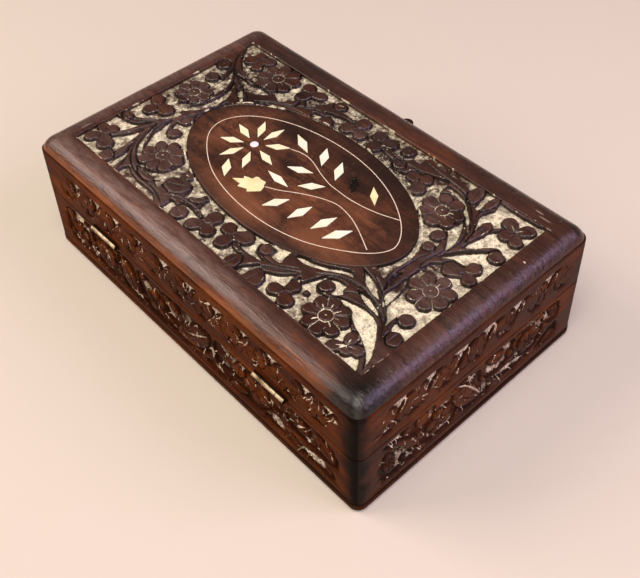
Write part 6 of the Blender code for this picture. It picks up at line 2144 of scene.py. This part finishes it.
class TreeBuilder:
    """Adds and joins the nodes of a Geometry Nodes tree."""

    def __init__(self, name: str, inputs: Sequence[tuple[str, str]]) -> None:
        """Start the tree, with a geometry in and out and further inputs."""
        self.tree = bpy.data.node_groups.new(name, "GeometryNodeTree")
        sockets = [("Geometry", "INPUT", "NodeSocketGeometry")]
        sockets += [(label, "INPUT", "NodeSocket" + kind) for label, kind in inputs]
        for label, way, kind in (*sockets, ("Geometry", "OUTPUT", "NodeSocketGeometry")):
            self.tree.interface.new_socket(label, in_out=way, socket_type=kind)
        self.source = self.tree.nodes.new("NodeGroupInput")
        self.result = self.tree.nodes.new("NodeGroupOutput")

    def add(
        self, kind: str, values: Optional[dict[str, object]] = None, **settings: object
    ) -> bpy.types.Node:
        """Add a geometry node; values go into its inputs and settings are its properties."""
        node = self.tree.nodes.new("GeometryNode" + kind)
        for key, value in settings.items():
            setattr(node, key, value)
        for key, value in (values or {}).items():
            if isinstance(value, Socket):
                self.tree.links.new(value, node.inputs[key])
            else:
                node.inputs[key].default_value = value
        return node

    def end(self, geometry: Socket) -> bpy.types.NodeTree:
        """Realize, set the material and close the tree."""
        real = self.add("RealizeInstances", {"Geometry": geometry})
        material = self.source.outputs["Material"]
        dressed = self.add("SetMaterial", {"Geometry": real.outputs[0], "Material": material})
        self.tree.links.new(dressed.outputs[0], self.result.inputs["Geometry"])
        return self.tree


def grow_mesh(name: str, seed_mesh: Mesh, tree: bpy.types.NodeTree, values: dict[str, object]) -> Mesh:
    """Run a tree on a mesh and return the plain mesh that it makes.

    Args:
        name: the name of the result.
        seed_mesh: the points or lines that the tree works on.
        tree: the Geometry Nodes tree.
        values: its inputs, by their names.

    Returns:
        The mesh.
    """
    carrier = link(bpy.data.objects.new(name + "_seed", seed_mesh))
    modifier = carrier.modifiers.new("grow", "NODES")
    modifier.node_group = tree
    for item in tree.interface.items_tree:
        if item.item_type == "SOCKET" and item.in_out == "INPUT" and item.name in values:
            modifier[item.identifier] = values[item.name]
    carrier.update_tag()
    bpy.context.view_layer.update()
    graph = bpy.context.evaluated_depsgraph_get()
    mesh = bpy.data.meshes.new_from_object(carrier.evaluated_get(graph), depsgraph=graph)
    mesh.name = name
    bpy.data.objects.remove(carrier)
    return mend_mesh(mesh, slivers=False)


def wire_tree() -> bpy.types.NodeTree:
    """Return the tree that draws a flat wire along a line."""
    sizes = [("Width", "Float"), ("Thickness", "Float"), ("Step", "Float")]
    build = TreeBuilder("wire_along_path", [*sizes, ("Material", "Material")])
    inputs = build.source.outputs
    line = build.add("MeshToCurve", {"Mesh": inputs["Geometry"]})
    even = build.add("ResampleCurve", {"Curve": line.outputs[0]})
    even.mode = "LENGTH"
    build.tree.links.new(inputs["Step"], even.inputs["Length"])
    upright = build.add("SetCurveNormal", {"Curve": even.outputs[0]}, mode="Z_UP")
    cross = {"Width": inputs["Width"], "Height": inputs["Thickness"]}
    section = build.add("CurvePrimitiveQuadrilateral", cross, mode="RECTANGLE")
    rounded = build.add("FilletCurve", {"Curve": section.outputs[0], "Radius": 0.12 * MM})
    sweep = {"Curve": upright.outputs[0], "Profile Curve": rounded.outputs[0], "Fill Caps": True}
    return build.end(build.add("CurveToMesh", sweep).outputs[0])


def lozenge_tree() -> bpy.types.NodeTree:
    """Return the tree that sets one lozenge on each point, turned and sized by its values."""
    build = TreeBuilder("lozenge_on_points", [("Thickness", "Float"), ("Material", "Material")])
    inputs = build.source.outputs
    kite = {"Width": 1.0, "Bottom Height": 0.5, "Top Height": 0.5}
    shape = build.add("CurvePrimitiveQuadrilateral", kite, mode="KITE")
    flat = build.add("FillCurve", {"Curve": shape.outputs[0]}, mode="NGONS")
    rise = {"Mesh": flat.outputs[0], "Offset Scale": inputs["Thickness"], "Individual": False}
    thick = build.add("ExtrudeMesh", rise, mode="FACES")
    under = build.add("FlipFaces", {"Mesh": flat.outputs[0]})
    both = build.add("JoinGeometry")
    build.tree.links.new(thick.outputs[0], both.inputs[0])
    build.tree.links.new(under.outputs[0], both.inputs[0])
    whole = build.add("MergeByDistance", {"Geometry": both.outputs[0], "Distance": 1e-6})
    turn = build.add("InputNamedAttribute", {"Name": "turn"}, data_type="FLOAT_VECTOR")
    size = build.add("InputNamedAttribute", {"Name": "size"}, data_type="FLOAT_VECTOR")
    spots = {"Points": inputs["Geometry"], "Instance": whole.outputs[0]}
    spots |= {"Rotation": turn.outputs[0], "Scale": size.outputs[0]}
    return build.end(build.add("InstanceOnPoints", spots).outputs[0])


def point_mesh(name: str, points: Array, vectors: Paint) -> Mesh:
    """Return a mesh of loose points, in metres, with vector values on them."""
    mesh = bpy.data.meshes.new(name)
    mesh.from_pydata(np.asarray(points, float).tolist(), [], [])
    for key, values in vectors.items():
        layer = mesh.attributes.new(key, "FLOAT_VECTOR", "POINT")
        layer.data.foreach_set("vector", np.asarray(values, np.float32).ravel())
    return mesh


def line_mesh(name: str, points: Array, closed: bool) -> Mesh:
    """Return a mesh of one line through points given in millimetres."""
    mesh = bpy.data.meshes.new(name)
    count = len(points)
    edges = [(index, (index + 1) % count) for index in range(count if closed else count - 1)]
    mesh.from_pydata((np.asarray(points, float) * MM).tolist(), edges, [])
    return mesh


# Lozenges of bone: two tips and the width; the keys are the CAD nodes' names
LOZENGES: dict[str, tuple[Point, Point, float]] = {
    "inlay_sprig_leaf_1": ((-38.0, 5.0), (-32.4, 16.6), 4.6),
    "inlay_sprig_leaf_2": ((-28.3, 4.2), (-25.4, 16.3), 4.4),
    "inlay_sprig_leaf_3": ((-16.9, 7.1), (-14.6, 18.8), 4.4),
    "inlay_sprig_leaf_4": ((-7.3, 10.8), (-1.9, 21.3), 4.3),
    "inlay_scattered_leaf_1": ((-1.2, 6.5), (12.3, 5.7), 3.7),
    "inlay_scattered_leaf_2": ((-11.8, -4.7), (-3.3, 3.1), 4.0),
    "inlay_scattered_leaf_3": ((-2.2, -6.8), (8.7, -1.7), 3.9),
    "inlay_scattered_leaf_4": ((22.4, 21.1), (29.9, 12.5), 4.1),
    "inlay_flower_leaf_1": ((-33.8, -11.2), (-25.6, -18.8), 3.4),
    "inlay_flower_leaf_2": ((-11.8, -10.0), (-5.7, -20.3), 4.2),
    "inlay_flower_leaf_3": ((-1.2, -12.2), (5.6, -21.9), 4.2),
    "inlay_flower_leaf_4": ((9.1, -13.8), (21.4, -19.1), 4.1),
}
LOST_LEAF: Outline = (
    (-21.8, -9.6), (-20.2, -11.2), (-19, -10.8), (-18.4, -12.6), (-16.6, -13.2), (-17.2, -14.6),
    (-15.6, -16.2), (-16.4, -18.4), (-18, -17.2), (-19.2, -17.8), (-19.6, -15.8), (-21.2, -15.4),
    (-20.8, -13.4), (-22.4, -12.4),
)
AGED_LEAF = "inlay_flower_leaf_1"
YELLOW_LEAF = "inlay_scattered_leaf_4"
TOOTHED_LEAF: Outline = (
    (5.8, 13.3), (4.8, 16.0), (6.3, 17.8), (8.7, 20.4), (9.8, 19.2), (13.9, 20.9), (14.2, 19.2),
    (19.1, 19.3), (15.6, 16.1), (16.7, 15.0), (12.9, 13.6), (12.7, 11.6), (11.5, 11.1), (10.0, 11.4),
    (7.4, 11.0), (6.5, 12.8),
)
FLOWER_MIDDLE: Point = (29.4, -1.2)
PETAL_ANGLES = (28.0, 71.0, 121.0, 168.0, 216.0, 264.0, 302.0, 345.0)
PETAL_REACH = (4.8, 16.0)
PETAL_WIDTH = 3.7
FLOWER_STEM: Outline = (
    (15.9, -10.3), (12.0, -11.6), (8.0, -12.1), (4.0, -11.6), (0.0, -10.4), (-5.0, -8.6), (-12.0, -6.9),
    (-17.0, -6.6), (-23.0, -6.5), (-30.0, -7.2), (-36.0, -8.5), (-40.0, -9.7), (-46.6, -12.3),
)
SPRIG_STEM: Outline = (
    (5.4, 13.0), (0.0, 10.4), (-5.0, 7.1), (-10.0, 4.1), (-15.0, 1.6), (-20.0, -0.2), (-24.0, -0.8),
    (-28.0, -0.4), (-33.0, 0.7), (-40.0, 3.6), (-49.2, 8.4),
)
OVAL_LINE = Oval(-1.6, 0.35, 53.6, 27.1)


@dataclass
class Medallion:
    """The oval left standing in the field, with its inlay of bone, shell and wire."""

    oval: Oval = MEDALLION
    inlay_depth: float = 1.0
    pocket_gap: float = 0.26
    wire_width: float = 0.52
    wire_thickness: float = 0.5
    wire_proud: float = 0.045
    wire_step: float = 1.0
    rim_width: float = 1.3
    oval_steps: int = 160

    def petals(self) -> list[list[Point]]:
        """Return the outlines of the flower's petals."""
        x, y = FLOWER_MIDDLE
        near, far = PETAL_REACH
        shapes = []
        for angle in PETAL_ANGLES:
            cosine, sine = math.cos(math.radians(angle)), math.sin(math.radians(angle))
            tips = [(x + reach * cosine, y + reach * sine) for reach in (near, far)]
            shapes.append(lozenge(tips[0], tips[1], PETAL_WIDTH))
        return shapes

    def dot(self, radius: float) -> Array:
        """Return the outline of the flower's middle."""
        return Oval(*FLOWER_MIDDLE, radius, radius).outline(28)

    def pockets(self) -> list[Array]:
        """Return the outlines of all pockets in the wood."""
        shapes = [widen(lozenge(*tips), self.pocket_gap) for tips in LOZENGES.values()]
        shapes += [widen(shape, self.pocket_gap) for shape in self.petals()]
        shapes.append(np.asarray(LOST_LEAF))
        shapes.append(widen(TOOTHED_LEAF, self.pocket_gap))
        shapes.append(self.dot(2.05))
        return shapes

    def build(self, palette: Palette) -> list[Piece]:
        """Make the oval and all that is let into it."""
        top = BOX.wood_top
        inlay_floor = top - self.inlay_depth
        outline = self.oval.outline(self.oval_steps, -self.rim_width)
        upper = flat_slab("medallion", [outline] + self.pockets(), inlay_floor, top, 0.06)
        lower = flat_slab("medallion_core", [outline], BOX.field_floor, inlay_floor, 0.02)
        work = bmesh.new()
        work.from_mesh(upper)
        work.from_mesh(lower)
        self.add_rim(work)
        work.to_mesh(upper)
        work.free()
        places = np.empty(len(upper.vertices) * 3)
        upper.vertices.foreach_get("co", places)
        paint_points(upper, self.paint(*places.reshape(-1, 3).T / MM))
        pieces = [put_on(finish_mesh("medallion", upper, palette.oval_wood), "lid")]
        return pieces + self.bone_pieces(palette) + self.wires(palette)

    def add_rim(self, work: bmesh.types.BMesh) -> None:
        """Add the worn, rounded rim round the oval."""
        top, width = BOX.wood_top, self.rim_width
        profile = [
            (width, top), (0.62 * width, top - 0.05), (0.34 * width, top - 0.18),
            (0.14 * width, top - 0.42), (0.03 * width, top - 0.8), (0.0, top - 1.3),
            (0.0, BOX.field_floor), (width, BOX.field_floor),
        ]
        steps = self.oval_steps
        rings = []
        for inset, z in profile:
            flat = self.oval.outline(steps, -inset)
            flat += 0.09 * np.sin(np.arange(steps) * 0.9)[:, None] * (inset == 0.0)
            rings.append([work.verts.new((x * MM, y * MM, z * MM)) for x, y in flat])
        made = []
        for lower, upper in zip(rings, [*rings[1:], rings[0]]):
            for index in range(steps):
                after = (index + 1) % steps
                made.append(work.faces.new((lower[index], lower[after], upper[after], upper[index])))
        bmesh.ops.recalc_face_normals(work, faces=made)

    def paint(self, x: Array, y: Array, z: Array) -> Paint:
        """Return the wash, the painted shade and grime, and the tone of the medallion's points; the pocket
        floors are darkened as painted shade, and the lost leaf's pocket is dusty.
        """
        lost = np.hypot(x + 19.0, y + 14.0) < 6.0
        shade_and_grime = np.where(z < BOX.wood_top - 0.3, np.where(lost, 0.2, 0.9), 0.12)
        return {"wash": 0.64 * (lost & (z < BOX.wood_top - 0.1)), "shade_and_grime": shade_and_grime, "tone": x * 0 + 0.5}

    def bone_pieces(self, palette: Palette) -> list[Piece]:
        """Make the bone lozenges, the toothed leaf and the shell dot."""
        tree = lozenge_tree()
        thickness = self.inlay_depth
        low = BOX.height - thickness
        pieces = []
        shapes = dict(LOZENGES)
        for index, shape in enumerate(self.petals(), start=1):
            shapes[f"inlay_petal_{index}"] = (shape[0], shape[2], PETAL_WIDTH)
        single = (YELLOW_LEAF, AGED_LEAF)
        groups = {
            "bone_sprig": ("sprig", palette.bone),
            "bone_scattered": ("scattered", palette.bone),
            "bone_yellow_leaf": (YELLOW_LEAF, palette.bone_petals),
            "bone_flower_leaves": ("flower_leaf", palette.bone),
            "bone_aged_leaf": (AGED_LEAF, palette.bone_aged),
            "bone_petals": ("petal", palette.bone_petals),
        }
        for name, (part, material) in groups.items():
            nodes = [part] if part in single else [n for n in shapes if part in n and n not in single]
            points, turns, sizes = [], [], []
            for node in nodes:
                start, end, width = np.array(shapes[node][0]), np.array(shapes[node][1]), shapes[node][2]
                along, centre = end - start, (start + end) / 2
                points.append((centre[0] * MM, centre[1] * MM, low * MM))
                turns.append((0.0, 0.0, math.atan2(along[1], along[0]) - math.pi / 2))
                sizes.append((width * MM, float(np.hypot(*along)) * MM, 1.0))
            seeds = point_mesh(name, points, {"turn": turns, "size": sizes})
            mesh = grow_mesh(name, seeds, tree, {"Thickness": thickness * MM, "Material": material})
            piece = finish_mesh(name, mesh, material)
            edge = piece.modifiers.new("eased", "BEVEL")
            edge.width = 0.09 * MM
            edge.segments = 2
            edge.limit_method = "ANGLE"
            pieces.append(put_on(piece, "lid", nodes))
        for name, outline, ease, material, slot, node in (
            ("bone_toothed_leaf", TOOTHED_LEAF, 0.07, palette.bone_aged, "bone", "toothed_leaf"),
            ("shell_dot", self.dot(1.88), 0.12, palette.shell, "pearl", "flower_centre"),
        ):
            slab = finish_mesh(name, flat_slab(name, [outline], low, BOX.height, ease), material)
            pieces.append(put_on(slab, "lid", ["inlay_" + node]))
        return pieces

    def wires(self, palette: Palette) -> list[Piece]:
        """Make the oval line and the two stems of wire."""
        tree = wire_tree()
        height = BOX.wood_top + self.wire_proud - self.wire_thickness / 2
        sizes = {"Width": self.wire_width, "Thickness": self.wire_thickness, "Step": self.wire_step}
        sizes = {label: size * MM for label, size in sizes.items()}
        lines = {
            "wire_oval": (self.oval_line(), True, "inlay_oval_wire"),
            "wire_flower_stem": (smooth_path(FLOWER_STEM), False, "inlay_flower_stem"),
            "wire_sprig_stem": (smooth_path(SPRIG_STEM), False, "inlay_sprig_stem"),
        }
        pieces = []
        for name, (flat, closed, node) in lines.items():
            path = np.column_stack([flat, np.full(len(flat), height)])
            mesh = grow_mesh(name, line_mesh(name, path, closed), tree, {**sizes, "Material": palette.wire})
            pieces.append(put_on(finish_mesh(name, mesh, palette.wire), "lid", [node]))
        return pieces

    def oval_line(self) -> Array:
        """Return the line of the oval wire, drawn out a little at its left end."""
        points = OVAL_LINE.outline(150, 0.0, 1.22)
        points[:, 0] -= 0.6 * smooth_step(-40.0, -55.0, points[:, 0])
        turn = np.arctan2(points[:, 1] / OVAL_LINE.half_width, points[:, 0] / OVAL_LINE.half_length)
        inward = 1.2 * hump(turn, 0.62, 0.35) + 0.7 * hump(turn, 2.5, 0.3)
        points *= 1 - (inward / np.hypot(points[:, 0], points[:, 1]))[:, None]
        return points


# Fittings


@dataclass
class Fittings:
    """Hinges, nails, thumb tab and felt, which keep their CAD shapes."""

    def dress(self, palette: Palette, nodes: dict[str, Piece]) -> None:
        """Give the CAD pieces that stay their finishes."""
        for name, node in nodes.items():
            if name.startswith("hinge_"):
                self.give(node, palette.brass)
            elif name == "thumb_tab":
                self.give(node, palette.top_wood)
            elif name == "base_lining":
                self.give(node, palette.felt)

    def give(self, node: Piece, material: Material) -> None:
        """Put one material on a CAD piece."""
        for index in range(len(node.data.materials)):
            node.data.materials[index] = material
        if not node.data.materials:
            node.data.materials.append(material)


# Studio


@dataclass
class Studio:
    """The floor, the soft lights and the camera."""

    camera_place: Triple = (-238.9, 198.9, 342.4)
    camera_azimuth: float = 138.56
    camera_elevation: float = 42.8
    camera_roll: float = -1.89
    lens: float = 56.73
    shift: Point = (0.0, -0.15)
    floor_size: float = 6.0
    sky: Tone = (0.92, 0.88, 0.86)
    sky_strength: float = 0.16

    def build(self) -> None:
        """Set the stage."""
        self.lay_floor()
        self.set_camera()
        world = bpy.data.worlds.new("studio")
        bpy.context.scene.world = world
        world.use_nodes = True
        background = world.node_tree.nodes["Background"]
        background.inputs["Color"].default_value = (*self.sky, 1.0)
        background.inputs["Strength"].default_value = self.sky_strength
        self.hang_light("window_left", (-0.95, -0.55, 0.85), 0.8, 9.0, (0.88, 0.64, 0.98))
        self.hang_light("window_back", (0.85, 0.75, 0.95), 0.9, 13.0, (1.0, 0.80, 0.72))
        self.hang_light("lamp_above", (-0.35, 0.45, 1.45), 0.8, 15.0, (1.0, 0.95, 0.88))
        self.hang_light("lamp_camera", (-1.0, 1.1, 0.5), 0.8, 3.5, (1.0, 0.90, 0.78))
        view = bpy.context.scene.view_settings
        view.view_transform = "Standard"
        view.look = "None"
        view.exposure = 0.0

    def lay_floor(self) -> None:
        """Lay the plain pale floor."""
        half = self.floor_size / 2
        corners = [(x * half, y * half, -0.2 * MM) for x, y in ((-1, -1), (1, -1), (1, 1), (-1, 1))]
        mesh = bpy.data.meshes.new("floor")
        mesh.from_pydata(corners, [], [(0, 1, 2, 3)])
        mesh.materials.append(FloorFinish().material())
        link(bpy.data.objects.new("floor", mesh))

    def hang_light(self, name: str, place: Triple, size: float, watts: float, colour: Tone) -> None:
        """Hang one soft square light that looks at the box.

        Args:
            name: its name.
            place: where it hangs, in metres.
            size: its width, in metres.
            watts: its power.
            colour: its colour.
        """
        data = bpy.data.lights.new(name, "AREA")
        data.shape = "SQUARE"
        data.size = size
        data.energy = watts
        data.color = colour
        light = link(bpy.data.objects.new(name, data))
        light.location = place
        light.rotation_euler = (-Vector(place)).to_track_quat("-Z", "Y").to_euler()

    def set_camera(self) -> None:
        """Set the camera where the photograph was taken from."""
        azimuth, elevation = math.radians(self.camera_azimuth), math.radians(self.camera_elevation)
        back = Vector((
            math.cos(azimuth) * math.cos(elevation),
            math.sin(azimuth) * math.cos(elevation),
            math.sin(elevation),
        ))
        right = (-back).cross(Vector((0.0, 0.0, 1.0))).normalized()
        up = right.cross(-back)
        cosine, sine = math.cos(math.radians(self.camera_roll)), math.sin(math.radians(self.camera_roll))
        local_x = right * cosine + up * sine
        local_y = up * cosine - right * sine
        turn = Matrix((local_x, local_y, back)).transposed().to_4x4()
        data = bpy.data.cameras.new("camera")
        data.lens = self.lens
        data.sensor_width = 36.0
        data.sensor_fit = "HORIZONTAL"
        data.shift_x, data.shift_y = self.shift
        camera = link(bpy.data.objects.new("camera", data))
        camera.matrix_world = Matrix.Translation(Vector(self.camera_place) * MM) @ turn
        bpy.context.scene.camera = camera


def write_sizes() -> None:
    """Bring the scene's view layer up to date."""
    bpy.context.view_layer.update()


def main() -> None:
    """Build the dressed box, piece by piece."""
    logging.basicConfig(level=logging.INFO, format="%(name)s %(message)s", stream=sys.stdout)
    Studio().build()
    palette = make_palette()
    area = CarvedField()
    LidBoard().build(palette, area)
    area.build(palette)
    Medallion().build(palette)
    BottomBoard().build(palette)
    for side in Side:
        for storey in Storey:
            Wall(side, storey).build(palette)
    Fittings().dress(palette, frame["nodes"])
    write_sizes()


if __name__ == "__main__":
    main()
